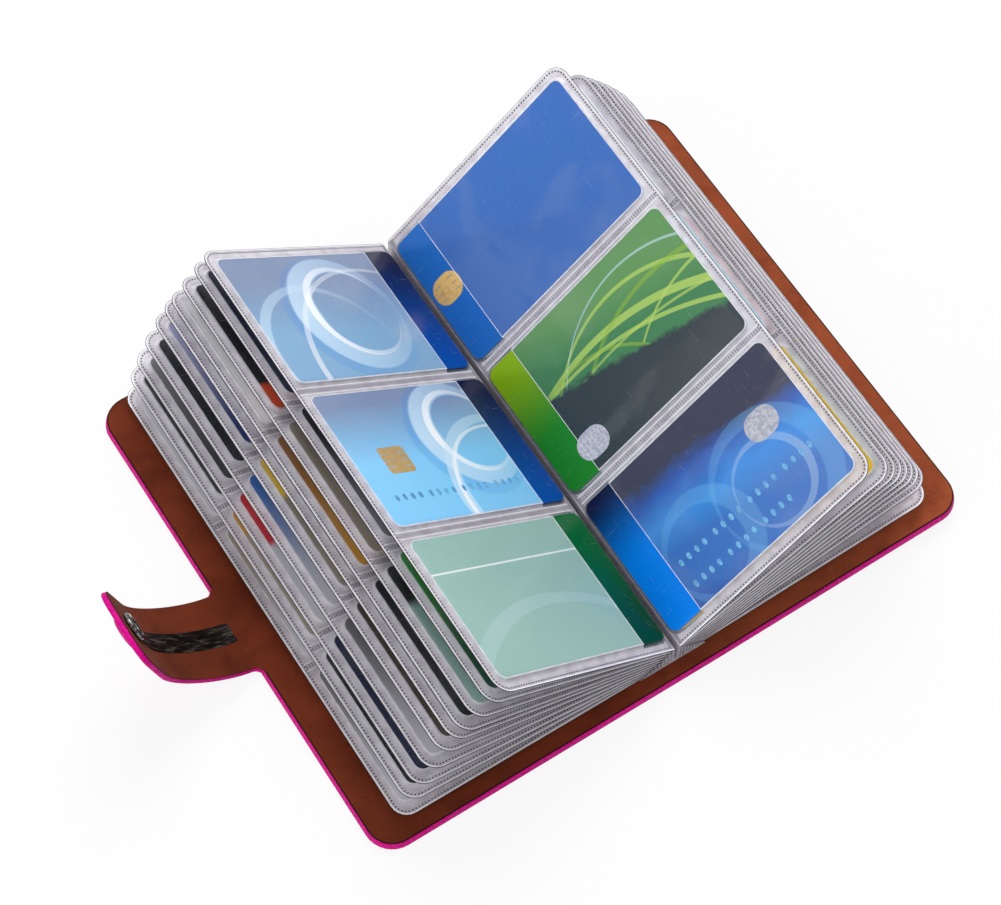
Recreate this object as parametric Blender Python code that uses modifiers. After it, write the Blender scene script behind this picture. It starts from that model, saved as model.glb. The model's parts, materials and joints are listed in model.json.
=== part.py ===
"""A card book lying open: a soft cover with a snap strap, and pocket leaves that hold plastic cards.

X runs across the open book, from the front cover and its strap to the back cover. Y runs along the
spine, from tail to head. Z is up, and zero is the surface that the book lies on. Each moving piece
hangs from an empty on its fold line, where u runs away from the fold, v along it and w upwards.
"""

import math

import bmesh
import bpy
from mathutils import Matrix, Vector

MM = 0.001

# Cards: the common bank card size
CARD_LENGTH = 85.6 * MM
CARD_WIDTH = 53.98 * MM
CARD_THICKNESS = 0.76 * MM
CARD_CORNER = 3.18 * MM

# Pocket leaves: a clear sheet with three pockets that open towards the spine
POCKETS = 3
POCKET_SEAM = 5.62 * MM
POCKET_WALL = 0.9 * MM
POCKET_FILM = 0.12 * MM
SHEET_THICKNESS = 0.16 * MM
CARD_BED = 0.12 * MM
CARD_PLAY = 0.05 * MM
CARD_SIDE_PLAY = 0.3 * MM
UNCOVERED_STRIP = 13.0 * MM
FORE_MARGIN = 3.4 * MM
END_MARGIN = 1.6 * MM
LEAF_CORNER = 6.0 * MM

# The block of leaves: how each side fans out, from the open page down to the cover
LEFT_FAN_DEG = (38.6, 36.1, 32.4, 28.9, 27.2, 23.9, 18.7, 13.4, 8.4, 1.2)
RIGHT_FAN_DEG = (41.5, 32.4, 29.2, 26.8, 24.2, 21.4, 18.6, 14.6, 4.2)
LEFT_CARD_LEAVES = 4
RIGHT_CARD_LEAVES = 3
CLOSED_LEAF_GAP = 0.12 * MM
LOW_ROOT_HEIGHT = 1.6 * MM
TOP_ROOT_MARGIN = 1.0 * MM
ROOT_STEP_SHARE = 0.8
ROOT_MARGIN_STEP_SHARE = 0.34

# The welded strip that joins the leaves to the spine
BINDING_BASE = 0.7 * MM
BINDING_TAB = 0.3 * MM
BINDING_SIDE = 0.6 * MM
TAB_TO_FOLD = 0.45 * MM

# Covers and spine: skin, board and lining, the skin turned up round the edges
SKIN = 0.7 * MM
BOARD = 2.0 * MM
LINING = 0.7 * MM
SEAT_GAP = 0.3 * MM
EDGE_TURN = 0.9 * MM
EDGE_ROUND = 0.25 * MM
COVER_CORNER = 10.0 * MM
COVER_OVERHANG = 2.5 * MM
HEAD_MARGIN = 0.6 * MM
TAIL_MARGIN = 6.0 * MM
SPINE_SIDE_ROOM = 1.1 * MM
FOLD_GAP = 0.15 * MM

# Strap: from the front cover's fore edge round the closed book
STRAP_WIDTH = 31.0 * MM
STRAP_SHIFT = 2.0 * MM
STRAP_TIP_LENGTH = 32.0 * MM
STRAP_CORNER = 8.0 * MM
STRAP_GAP = 0.5 * MM
STRAP_EDGE = 0.8 * MM
STRAP_ROOT_DEG = 42.0
STRAP_TIP_DEG = 76.0
STIFFENER_WIDTH = 7.0 * MM
STIFFENER_THICKNESS = 0.55 * MM
STIFFENER_CORNER = 1.2 * MM
STIFFENER_START = 1.5 * MM

# Snap: cap and socket on the strap, stud on the back cover
SNAP_TO_END = 9.5 * MM
CAP_RADIUS = 6.0 * MM
CAP_RIM = 0.6 * MM
CAP_DOME = 1.6 * MM
POST_RADIUS = 1.1 * MM
SOCKET_RADIUS = 5.2 * MM
SOCKET_HEIGHT = 2.6 * MM
SOCKET_BASE = 0.8 * MM
SOCKET_WAIST = 0.5 * MM
STUD_FLANGE_RADIUS = 4.6 * MM
STUD_FLANGE = 0.5 * MM
STUD_HEAD = 1.6 * MM
STUD_HEAD_RADIUS = 2.1 * MM
STUD_NECK_RADIUS = 1.7 * MM
RIVET_RADIUS = 2.6 * MM
RIVET = 0.5 * MM
POST_PLAY_SHARE = 0.5

# Shared modelling values
OVERRUN = 3.0 * MM
WELD = 0.0001 * MM
CORNER_STEPS = 4
COVER_CORNER_STEPS = 6
TURN_STEPS = 20
DOME_STEPS = 5
AXIS_MARK = 5.0 * MM
BEVEL_FROM_DEG = 60.0
SHARP_FROM_DEG = 35.0

# What follows from the values above
POCKET_PITCH = CARD_WIDTH + POCKET_SEAM
LEAF_HEIGHT = POCKETS * POCKET_PITCH + 2 * END_MARGIN
SHEET_TOP = SHEET_THICKNESS / 2
CARD_LOW = CARD_BED + CARD_PLAY
CARD_TOP = CARD_LOW + CARD_THICKNESS
LEAF_TOP = CARD_TOP + CARD_PLAY + POCKET_FILM
LEAF_PITCH = LEAF_TOP + SHEET_TOP + CLOSED_LEAF_GAP
FIRST_LEAF_X = LEAF_TOP + CLOSED_LEAF_GAP
LEFT_LEAVES = len(LEFT_FAN_DEG)
RIGHT_LEAVES = len(RIGHT_FAN_DEG)
ROOT_STEP = LEAF_PITCH * ROOT_STEP_SHARE
ROOT_MARGIN_STEP = LEAF_PITCH * ROOT_MARGIN_STEP_SHARE
TOP_ROOT_HEIGHT = LOW_ROOT_HEIGHT + (LEFT_LEAVES - 1) * ROOT_STEP
CLOSED_REACH = TOP_ROOT_HEIGHT + TOP_ROOT_MARGIN + CARD_LENGTH + FORE_MARGIN

COVER_THICKNESS = SKIN + SEAT_GAP + BOARD + SEAT_GAP + LINING
COVER_REACH = CLOSED_REACH + COVER_OVERHANG
COVER_HEIGHT = LEAF_HEIGHT + HEAD_MARGIN + TAIL_MARGIN
LEAF_SHIFT = (TAIL_MARGIN - HEAD_MARGIN) / 2
SPINE_HALF = FIRST_LEAF_X + (LEFT_LEAVES - 1) * LEAF_PITCH + SPINE_SIDE_ROOM

STRAP_THICKNESS = SKIN + SEAT_GAP + LINING
STRAP_START = COVER_REACH + STRAP_GAP
SNAP_STANDOFF = SEAT_GAP + SOCKET_HEIGHT + SEAT_GAP + STUD_FLANGE + SEAT_GAP
STRAP_ROOT_LENGTH = 2 * (SPINE_HALF + COVER_THICKNESS) - STRAP_THICKNESS + SNAP_STANDOFF
SNAP_REACH = STRAP_TIP_LENGTH - SNAP_TO_END
POST_HOLE_RADIUS = POST_RADIUS + SEAT_GAP
STUD_REACH = STRAP_START - SNAP_REACH
STUD_DROP = SEAT_GAP + STUD_FLANGE + STUD_HEAD


def resting_tilt():
    """The angle that lifts the back cover onto its stud, which then touches the table."""
    run = STUD_REACH - STUD_NECK_RADIUS
    drop = COVER_THICKNESS + STUD_DROP
    return math.atan2(drop, run) - math.asin(COVER_THICKNESS / math.hypot(run, drop))


BACK_TILT = resting_tilt()

COLOURS = {
    "skin": ((0.62, 0.004, 0.23), 0.55, 0.0),
    "board": ((0.42, 0.33, 0.22), 0.9, 0.0),
    "lining": ((0.16, 0.045, 0.02), 0.85, 0.0),
    "film": ((0.72, 0.72, 0.78), 0.25, 0.0),
    "binding": ((0.60, 0.60, 0.66), 0.5, 0.0),
    "stiffener": ((0.02, 0.013, 0.01), 0.5, 0.0),
    "snap": ((0.75, 0.75, 0.76), 0.25, 1.0),
    "cap": ((0.60, 0.004, 0.22), 0.3, 0.0),
    "card_blue": ((0.08, 0.20, 0.55), 0.35, 0.0),
    "card_sky": ((0.12, 0.38, 0.75), 0.35, 0.0),
    "card_green": ((0.10, 0.30, 0.07), 0.35, 0.0),
    "card_mint": ((0.34, 0.60, 0.50), 0.35, 0.0),
    "card_navy": ((0.02, 0.03, 0.10), 0.35, 0.0),
    "card_white": ((0.78, 0.79, 0.82), 0.35, 0.0),
    "card_yellow": ((0.80, 0.56, 0.08), 0.35, 0.0),
    "card_tan": ((0.45, 0.36, 0.25), 0.35, 0.0),
}

# The cards of each leaf from tail to head, the open pages first
LEFT_CARD_COLOURS = (
    ("card_mint", "card_sky", "card_sky"),
    ("card_mint", "card_navy", "card_sky"),
    ("card_tan", "card_tan", "card_navy"),
    ("card_navy", "card_white", "card_blue"),
)
RIGHT_CARD_COLOURS = (
    ("card_blue", "card_green", "card_blue"),
    ("card_yellow", "card_white", "card_white"),
    ("card_green", "card_white", "card_white"),
)
POCKET_PLACES = ("tail", "middle", "head")


def clear_scene():
    """Remove what the startup file holds."""
    for obj in list(bpy.data.objects):
        bpy.data.objects.remove(obj, do_unlink=True)


def new_collection(name):
    """A collection linked to the scene."""
    collection = bpy.data.collections.new(name)
    bpy.context.scene.collection.children.link(collection)
    return collection


def new_material(name):
    """A Principled material with the named colour, roughness and metallic value."""
    colour, roughness, metallic = COLOURS[name]
    material = bpy.data.materials.new(name)
    material.use_nodes = True
    shader = material.node_tree.nodes["Principled BSDF"]
    shader.inputs["Base Color"].default_value = (*colour, 1.0)
    shader.inputs["Roughness"].default_value = roughness
    shader.inputs["Metallic"].default_value = metallic
    material.diffuse_color = (*colour, 1.0)
    return material


def corner_arc(before, corner, after, radius, steps):
    """Points of the fillet of this radius at one corner of an outline."""
    here = Vector(corner)
    back = (Vector(before) - here).normalized()
    ahead = (Vector(after) - here).normalized()
    half_angle = back.angle(ahead) / 2
    to_tangent = radius / math.tan(half_angle)
    centre = here + (back + ahead).normalized() * radius / math.sin(half_angle)
    first = here + back * to_tangent - centre
    last = here + ahead * to_tangent - centre
    sweep = first.angle_signed(last)
    points = []
    for step in range(steps + 1):
        turn = Matrix.Rotation(-sweep * step / steps, 2)
        points.append(tuple(centre + turn @ first))
    return points


def rounded(corners, steps=CORNER_STEPS):
    """Points of a closed outline, from (u, v, radius) corners."""
    points = []
    for index, (u, v, radius) in enumerate(corners):
        if radius:
            before = corners[index - 1][:2]
            after = corners[(index + 1) % len(corners)][:2]
            points += corner_arc(before, (u, v), after, radius, steps)
        else:
            points.append((u, v))
    return points


def panel(start, end, low, high, corner=0.0, start_corner=0.0, steps=CORNER_STEPS):
    """A rectangular outline from start to end and low to high, with its far corners rounded."""
    near, far = start_corner, corner
    return rounded(((start, low, near), (end, low, far), (end, high, far), (start, high, near)), steps)


def cleaned(mesh):
    """Weld the mesh's doubled points and turn its faces outwards."""
    work = bmesh.new()
    work.from_mesh(mesh)
    bmesh.ops.remove_doubles(work, verts=work.verts, dist=WELD)
    bmesh.ops.recalc_face_normals(work, faces=work.faces)
    work.to_mesh(mesh)
    work.free()
    return mesh


def mesh_of(source):
    """The evaluated mesh of a helper object in its own place, after which the helper is removed."""
    bpy.context.view_layer.update()
    graph = bpy.context.evaluated_depsgraph_get()
    mesh = bpy.data.meshes.new_from_object(source.evaluated_get(graph))
    mesh.transform(source.matrix_world)
    bpy.data.objects.remove(source, do_unlink=True)
    return cleaned(mesh)


def plate_mesh(name, outlines, low, high):
    """Flat plates of these outlines, from height low to height high."""
    curve = bpy.data.curves.new(name, "CURVE")
    curve.dimensions = "2D"
    curve.fill_mode = "BOTH"
    curve.extrude = (high - low) / 2
    for outline in outlines:
        spline = curve.splines.new("POLY")
        spline.points.add(len(outline) - 1)
        for point, (u, v) in zip(spline.points, outline):
            point.co = (u, v, 0.0, 1.0)
        spline.use_cyclic_u = True
    helper = bpy.data.objects.new(name, curve)
    helper.location.z = (low + high) / 2
    bpy.context.scene.collection.objects.link(helper)
    return mesh_of(helper)


def turned_mesh(name, profile, closed):
    """A solid of revolution about w, from (radius, w) points; a closed profile makes a ring."""
    mesh = bpy.data.meshes.new(name)
    count = len(profile)
    edges = [(index, index + 1) for index in range(count - 1)]
    if closed:
        edges.append((count - 1, 0))
    mesh.from_pydata([(radius, 0.0, height) for radius, height in profile], edges, [])
    helper = bpy.data.objects.new(name, mesh)
    bpy.context.scene.collection.objects.link(helper)
    screw = helper.modifiers.new("turn", "SCREW")
    screw.steps = TURN_STEPS
    screw.render_steps = TURN_STEPS
    screw.use_merge_vertices = True
    screw.merge_threshold = WELD
    return mesh_of(helper)


class Book:
    """Holds the collections and materials, and places each piece."""

    def __init__(self):
        self.parts = new_collection("card_book")
        self.cutters = new_collection("card_book_cutters")
        self.materials = {name: new_material(name) for name in COLOURS}

    def axis(self, name, matrix, parent=None):
        """An empty on a fold line, which the pieces of one body hang from."""
        empty = bpy.data.objects.new(name, None)
        empty.empty_display_size = AXIS_MARK
        self.parts.objects.link(empty)
        empty.parent = parent
        empty.matrix_local = matrix
        return empty

    def piece(self, name, mesh, material, axis):
        """One visible sub-part, hung from its axis."""
        mesh.name = name
        mesh.materials.clear()
        mesh.materials.append(self.materials[material])
        obj = bpy.data.objects.new(name, mesh)
        self.parts.objects.link(obj)
        obj.parent = axis
        return obj

    def boolean(self, target, mesh, operation, offset=(0.0, 0.0, 0.0)):
        """Cut the mesh out of the target, or join it on, as a live modifier."""
        cutter = bpy.data.objects.new(f"{target.name}_{operation.lower()}", mesh)
        self.cutters.objects.link(cutter)
        cutter.parent = target.parent
        cutter.location = offset
        cutter.hide_render = True
        cutter.display_type = "WIRE"
        modifier = target.modifiers.new(operation.lower(), "BOOLEAN")
        modifier.operation = operation
        modifier.solver = "EXACT"
        modifier.object = cutter


def side_matrix(side, angle, place):
    """Places a fold axis: u points away from the spine at this angle, w upwards."""
    rows = Matrix((
        (side * math.cos(angle), 0.0, -side * math.sin(angle)),
        (0.0, side, 0.0),
        (math.sin(angle), 0.0, math.cos(angle)),
    ))
    return Matrix.Translation(place) @ rows.to_4x4()


def fold_matrix(angle, reach, height=0.0):
    """Places a fold axis further out on a piece, turned up by this angle."""
    return Matrix.Translation((reach, 0.0, height)) @ Matrix.Rotation(-angle, 4, "Y")


def round_edges(obj):
    """Soften a skin's edges, as folded leather has them."""
    bevel = obj.modifiers.new("round", "BEVEL")
    bevel.width = EDGE_ROUND
    bevel.segments = 1
    bevel.limit_method = "ANGLE"
    bevel.angle_limit = math.radians(BEVEL_FROM_DEG)


def disc(radius, centre_u, centre_v, steps=TURN_STEPS):
    """A round outline."""
    turn = 2 * math.pi / steps
    return [
        (centre_u + radius * math.cos(turn * step), centre_v + radius * math.sin(turn * step))
        for step in range(steps)
    ]


def cover_layers(book, name, axis, side):
    """Skin, board and lining of one cover, below its fold axis."""
    under = -COVER_THICKNESS
    half = COVER_HEIGHT / 2
    inner = half - EDGE_TURN
    reach = COVER_REACH - EDGE_TURN
    inner_corner = COVER_CORNER - EDGE_TURN
    outline = panel(FOLD_GAP, COVER_REACH, -half, half, COVER_CORNER, steps=COVER_CORNER_STEPS)
    tray = panel(FOLD_GAP - OVERRUN, reach, -inner, inner, inner_corner, steps=COVER_CORNER_STEPS)
    skin = book.piece(f"{name}_skin", plate_mesh("skin", [outline], under, 0.0), "skin", axis)
    book.boolean(skin, plate_mesh("tray", [tray], under + SKIN, OVERRUN), "DIFFERENCE")

    seat = EDGE_TURN + SEAT_GAP
    seat_corner = COVER_CORNER - seat
    layer = panel(
        FOLD_GAP, COVER_REACH - seat, seat - half, half - seat, seat_corner, steps=COVER_CORNER_STEPS
    )
    board_low = under + SKIN + SEAT_GAP
    board_mesh = plate_mesh("board", [layer], board_low, board_low + BOARD)
    board = book.piece(f"{name}_board", board_mesh, "board", axis)
    lining_outline = layer
    if side < 0:
        strap_v = STRAP_SHIFT
        low = strap_v - STRAP_WIDTH / 2 + STRAP_EDGE
        high = strap_v + STRAP_WIDTH / 2 - STRAP_EDGE
        notch = panel(reach - OVERRUN, COVER_REACH + OVERRUN, low - SEAT_GAP, high + SEAT_GAP)
        strap_way = plate_mesh("strap_way", [notch], -LINING - SEAT_GAP, OVERRUN)
        book.boolean(skin, strap_way, "DIFFERENCE")
        lining_outline = rounded(
            (
                (FOLD_GAP, seat - half, 0.0),
                (COVER_REACH - seat, seat - half, seat_corner),
                (COVER_REACH - seat, low, 0.0),
                (COVER_REACH, low, 0.0),
                (COVER_REACH, high, 0.0),
                (COVER_REACH - seat, high, 0.0),
                (COVER_REACH - seat, half - seat, seat_corner),
                (FOLD_GAP, half - seat, 0.0),
            ),
            COVER_CORNER_STEPS,
        )
    else:
        post = disc(POST_HOLE_RADIUS, STUD_REACH, -STRAP_SHIFT)
        well = disc(RIVET_RADIUS + SEAT_GAP, STUD_REACH, -STRAP_SHIFT)
        post_hole = plate_mesh("post_hole", [post], under - OVERRUN, under + SKIN + BOARD)
        book.boolean(skin, post_hole, "DIFFERENCE")
        book.boolean(board, plate_mesh("rivet_well", [well], under, OVERRUN), "DIFFERENCE")
    round_edges(skin)
    lining = plate_mesh("lining", [lining_outline], -LINING, 0.0)
    book.piece(f"{name}_lining", lining, "lining", axis)


def spine_layers(book, axis):
    """Skin, board and lining of the spine, between the two folds."""
    half = COVER_HEIGHT / 2
    width = SPINE_HALF - FOLD_GAP
    under = -COVER_THICKNESS
    inner = half - EDGE_TURN
    outline = panel(-width, width, -half, half)
    trough = panel(-width - OVERRUN, width + OVERRUN, -inner, inner)
    skin = book.piece("spine_skin", plate_mesh("skin", [outline], under, 0.0), "skin", axis)
    book.boolean(skin, plate_mesh("trough", [trough], under + SKIN, OVERRUN), "DIFFERENCE")
    round_edges(skin)
    layer = [panel(-width, width, SEAT_GAP - inner, inner - SEAT_GAP)]
    board_low = under + SKIN + SEAT_GAP
    board_mesh = plate_mesh("board", layer, board_low, board_low + BOARD)
    book.piece("spine_board", board_mesh, "board", axis)
    book.piece("spine_lining", plate_mesh("lining", layer, -LINING, 0.0), "lining", axis)


def root_places(count):
    """(x, height, margin) of each leaf's fold, the open page first."""
    return [
        (
            FIRST_LEAF_X + index * LEAF_PITCH,
            TOP_ROOT_HEIGHT - index * ROOT_STEP,
            TOP_ROOT_MARGIN + index * ROOT_MARGIN_STEP,
        )
        for index in range(count)
    ]


def binding_comb(book, axis):
    """The strip on the spine with one upright tab for each leaf, drawn as a profile and extruded."""
    base = SEAT_GAP + BINDING_BASE
    right_end = FIRST_LEAF_X + (RIGHT_LEAVES - 1) * LEAF_PITCH + BINDING_SIDE
    left_end = -(FIRST_LEAF_X + (LEFT_LEAVES - 1) * LEAF_PITCH + BINDING_SIDE)
    roots = [(-x, height) for x, height, _ in reversed(root_places(LEFT_LEAVES))]
    roots += [(x, height) for x, height, _ in root_places(RIGHT_LEAVES)]
    outline = [(left_end, SEAT_GAP), (left_end, base)]
    for x, height in roots:
        tab_top = height - TAB_TO_FOLD
        left, right = x - BINDING_TAB / 2, x + BINDING_TAB / 2
        outline += [(left, base), (left, tab_top), (right, tab_top), (right, base)]
    outline += [(right_end, base), (right_end, SEAT_GAP)]
    comb = plate_mesh("page_binding", [outline], -LEAF_HEIGHT / 2, LEAF_HEIGHT / 2)
    comb.transform(Matrix.Translation((0.0, LEAF_SHIFT, 0.0)) @ Matrix.Rotation(math.pi / 2, 4, "X"))
    book.piece("page_binding", comb, "binding", axis)


def pocket_middles():
    """The v of each pocket's middle line, from tail to head."""
    first = -(POCKETS - 1) / 2 * POCKET_PITCH
    return [first + index * POCKET_PITCH for index in range(POCKETS)]


def pocket_outlines(margin):
    """Outlines of the raised pockets, and of the hollows that the cards lie in."""
    end = margin + CARD_LENGTH
    wall = CARD_SIDE_PLAY + POCKET_WALL
    blocks, hollows = [], []
    for middle in pocket_middles():
        half = CARD_WIDTH / 2
        blocks.append(panel(
            margin + UNCOVERED_STRIP, end + wall, middle - half - wall, middle + half + wall,
            CARD_CORNER + wall,
        ))
        hollows.append(panel(
            margin - CARD_SIDE_PLAY, end + CARD_SIDE_PLAY, middle - half - CARD_SIDE_PLAY,
            middle + half + CARD_SIDE_PLAY, CARD_CORNER + CARD_SIDE_PLAY,
        ))
    return blocks, hollows


def pocket_leaf(book, name, axis, margin, hollow):
    """One leaf: a sheet with three pockets, hollow where its cards are pieces of their own."""
    half = LEAF_HEIGHT / 2
    sheet = panel(0.0, margin + CARD_LENGTH + FORE_MARGIN, -half, half, LEAF_CORNER)
    leaf = book.piece(name, plate_mesh("sheet", [sheet], -SHEET_TOP, SHEET_TOP), "film", axis)
    blocks, hollows = pocket_outlines(margin)
    book.boolean(leaf, plate_mesh("pockets", blocks, 0.0, LEAF_TOP), "UNION")
    if hollow:
        cut = plate_mesh("hollows", hollows, CARD_BED, LEAF_TOP - POCKET_FILM)
        book.boolean(leaf, cut, "DIFFERENCE")
    else:
        strips = [uncovered_strip(margin, middle) for middle in pocket_middles()]
        book.boolean(leaf, plate_mesh("card_edges", strips, 0.0, CARD_TOP), "UNION")


def uncovered_strip(margin, middle):
    """The part of a fixed card that its pocket leaves uncovered."""
    half = CARD_WIDTH / 2
    return panel(
        margin + UNCOVERED_STRIP + POCKET_WALL, margin, middle - half, middle + half, CARD_CORNER
    )


def card_mesh(margin, middle):
    """One card in its pocket."""
    half = CARD_WIDTH / 2
    outline = panel(margin, margin + CARD_LENGTH, middle - half, middle + half, CARD_CORNER, CARD_CORNER)
    return plate_mesh("card", [outline], CARD_LOW, CARD_TOP)


def leaf_stack(book, side_name, side, fan, card_leaves, card_colours):
    """The leaves of one side on their fold axes, and the cards of its upper leaves."""
    for index, (x, height, margin) in enumerate(root_places(len(fan))):
        number = index + 1
        place = (side * x, LEAF_SHIFT, COVER_THICKNESS + height)
        matrix = side_matrix(side, math.radians(fan[index]), place)
        axis = book.axis(f"{side_name}_leaf_{number}_fold", matrix)
        has_cards = number <= card_leaves
        pocket_leaf(book, f"{side_name}_leaf_{number}", axis, margin, has_cards)
        if not has_cards:
            continue
        for pocket, place_name in enumerate(POCKET_PLACES):
            middle = side * pocket_middles()[pocket]
            colour = card_colours[index][pocket]
            book.piece(f"{side_name}_card_{number}_{place_name}", card_mesh(margin, middle), colour, axis)


def strap_piece(book, name, axis, end, corner, window, snap):
    """Skin, lining and stiffener of one strap piece, below its fold axis."""
    half = STRAP_WIDTH / 2
    inner = half - STRAP_EDGE
    skin_low = -STRAP_THICKNESS
    start = SEAT_GAP
    shift = STRAP_SHIFT
    outline = panel(start, end, shift - half, shift + half, corner)
    lining_end = end - STRAP_EDGE if corner else end
    lining_corner = corner - STRAP_EDGE if corner else 0.0
    lining_outline = panel(start, lining_end, shift - inner, shift + inner, lining_corner)
    skin_mesh = plate_mesh("skin", [outline], skin_low, skin_low + SKIN)
    skin = book.piece(f"{name}_skin", skin_mesh, "skin", axis)
    lining_mesh = plate_mesh("lining", [lining_outline], -LINING, 0.0)
    lining = book.piece(f"{name}_lining", lining_mesh, "lining", axis)

    opening = STIFFENER_WIDTH / 2 + SEAT_GAP
    cut_start, cut_end = window
    start_side = cut_start - OVERRUN if snap else cut_start
    end_side = cut_end if snap else cut_end + OVERRUN
    hole = rounded((
        (start_side, shift - opening, 0.0 if snap else STIFFENER_CORNER),
        (end_side, shift - opening, STIFFENER_CORNER if snap else 0.0),
        (end_side, shift + opening, STIFFENER_CORNER if snap else 0.0),
        (start_side, shift + opening, 0.0 if snap else STIFFENER_CORNER),
    ))
    book.boolean(lining, plate_mesh("window", [hole], -LINING - OVERRUN, OVERRUN), "DIFFERENCE")
    bar = panel(
        cut_start + (0.0 if snap else SEAT_GAP), cut_end - (SEAT_GAP if snap else 0.0),
        shift - STIFFENER_WIDTH / 2, shift + STIFFENER_WIDTH / 2,
        STIFFENER_CORNER if snap else 0.0, 0.0 if snap else STIFFENER_CORNER,
    )
    bar_low = skin_low + SKIN + SEAT_GAP
    bar_mesh = plate_mesh("stiffener", [bar], bar_low, bar_low + STIFFENER_THICKNESS)
    book.piece(f"{name}_stiffener", bar_mesh, "stiffener", axis)
    if snap:
        post = [disc(POST_HOLE_RADIUS, SNAP_REACH, shift)]
        hole = plate_mesh("post_hole", post, skin_low - OVERRUN, OVERRUN)
        book.boolean(skin, hole, "DIFFERENCE")
        book.boolean(lining, hole, "DIFFERENCE")
    round_edges(skin)


def cap_profile():
    """Domed cap with its post, from the dome's middle to the post's end."""
    rim_top = -STRAP_THICKNESS - SEAT_GAP
    rim_low = rim_top - CAP_RIM
    points = []
    for step in range(DOME_STEPS + 1):
        turn = math.pi / 2 * step / DOME_STEPS
        points.append((CAP_RADIUS * math.sin(turn), rim_low - CAP_DOME * math.cos(turn)))
    points[0] = (0.0, points[0][1])
    post_end = SEAT_GAP + SOCKET_BASE
    points += [(CAP_RADIUS, rim_top), (POST_RADIUS, rim_top), (POST_RADIUS, post_end), (0.0, post_end)]
    return points


def socket_profile():
    """The ring that takes the stud: a base plate with a hole, and a wall that draws in at its mouth."""
    low = SEAT_GAP
    top = low + SOCKET_HEIGHT
    floor = low + SOCKET_BASE
    hole = POST_RADIUS + SEAT_GAP * POST_PLAY_SHARE
    cavity = STUD_HEAD_RADIUS + SEAT_GAP
    return [
        (hole, low),
        (SOCKET_RADIUS, low),
        (SOCKET_RADIUS, floor),
        (SOCKET_RADIUS - SOCKET_WAIST, top),
        (cavity + SOCKET_WAIST, top),
        (cavity, top - SOCKET_WAIST),
        (cavity + SOCKET_WAIST, floor),
        (hole, floor),
    ]


def stud_profile():
    """Stud from the end of its head up through the skin to the rivet plate in the board."""
    head_end = -COVER_THICKNESS - STUD_DROP
    shoulder = head_end + STUD_HEAD / 2
    flange_low = head_end + STUD_HEAD
    flange_top = flange_low + STUD_FLANGE
    rivet_low = -COVER_THICKNESS + SKIN + SEAT_GAP
    return [
        (0.0, head_end),
        (STUD_NECK_RADIUS, head_end),
        (STUD_HEAD_RADIUS, shoulder),
        (STUD_NECK_RADIUS, flange_low),
        (STUD_FLANGE_RADIUS, flange_low),
        (STUD_FLANGE_RADIUS, flange_top),
        (POST_RADIUS, flange_top),
        (POST_RADIUS, rivet_low),
        (RIVET_RADIUS, rivet_low),
        (RIVET_RADIUS, rivet_low + RIVET),
        (0.0, rivet_low + RIVET),
    ]


def shade_round(obj):
    """Smooth shading with sharp edges kept."""
    obj.data.shade_smooth()
    obj.data.set_sharp_from_angle(angle=math.radians(SHARP_FROM_DEG))


def snap_piece(book, name, axis, profile, closed, reach, shift, material):
    """One turned piece of the snap, on its own axis through the strap or the cover."""
    mesh = turned_mesh(name, profile, closed)
    mesh.transform(Matrix.Translation((reach, shift, 0.0)))
    shade_round(book.piece(name, mesh, material, axis))


def build():
    """Make the whole book."""
    clear_scene()
    book = Book()
    lining_level = COVER_THICKNESS
    spine = book.axis("spine_axis", Matrix.Translation((0.0, 0.0, lining_level)))
    spine_layers(book, spine)
    binding_comb(book, spine)

    front = book.axis("front_fold", side_matrix(-1, 0.0, (-SPINE_HALF, 0.0, lining_level)))
    back = book.axis("back_fold", side_matrix(1, BACK_TILT, (SPINE_HALF, 0.0, lining_level)))
    cover_layers(book, "front_cover", front, -1)
    cover_layers(book, "back_cover", back, 1)

    leaf_stack(book, "left", -1, LEFT_FAN_DEG, LEFT_CARD_LEAVES, LEFT_CARD_COLOURS)
    leaf_stack(book, "right", 1, RIGHT_FAN_DEG, RIGHT_CARD_LEAVES, RIGHT_CARD_COLOURS)

    root_angle = math.radians(STRAP_ROOT_DEG)
    tip_angle = math.radians(STRAP_TIP_DEG - STRAP_ROOT_DEG)
    strap_level = STRAP_THICKNESS - COVER_THICKNESS
    root = book.axis("strap_root_fold", fold_matrix(root_angle, STRAP_START, strap_level), front)
    tip = book.axis("strap_tip_fold", fold_matrix(tip_angle, STRAP_ROOT_LENGTH), root)
    root_window = (STIFFENER_START, STRAP_ROOT_LENGTH - SEAT_GAP)
    tip_window = (SEAT_GAP, SNAP_REACH - SOCKET_RADIUS - STIFFENER_START)
    strap_piece(book, "strap_root", root, STRAP_ROOT_LENGTH - SEAT_GAP, 0.0, root_window, False)
    strap_piece(book, "strap_tip", tip, STRAP_TIP_LENGTH, STRAP_CORNER, tip_window, True)
    snap_piece(book, "snap_cap", tip, cap_profile(), False, SNAP_REACH, STRAP_SHIFT, "cap")
    snap_piece(book, "snap_socket", tip, socket_profile(), True, SNAP_REACH, STRAP_SHIFT, "snap")
    snap_piece(book, "snap_stud", back, stud_profile(), False, STUD_REACH, -STRAP_SHIFT, "snap")
    bpy.context.view_layer.update()


build()
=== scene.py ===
"""A card book lying open on a pale table: leather covers, a snap strap, and fanned pocket leaves with cards.

X runs across the open book from the strap side, Y from tail to head along the spine, Z is up, in metres.
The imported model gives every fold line; each class here dresses one sub-assembly of the book.
"""

import json
import logging
import math
from collections.abc import Callable, Iterable, Sequence
from dataclasses import dataclass, field
from enum import Enum
from typing import ClassVar

import bmesh
import bpy
from mathutils import Matrix, Vector

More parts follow.
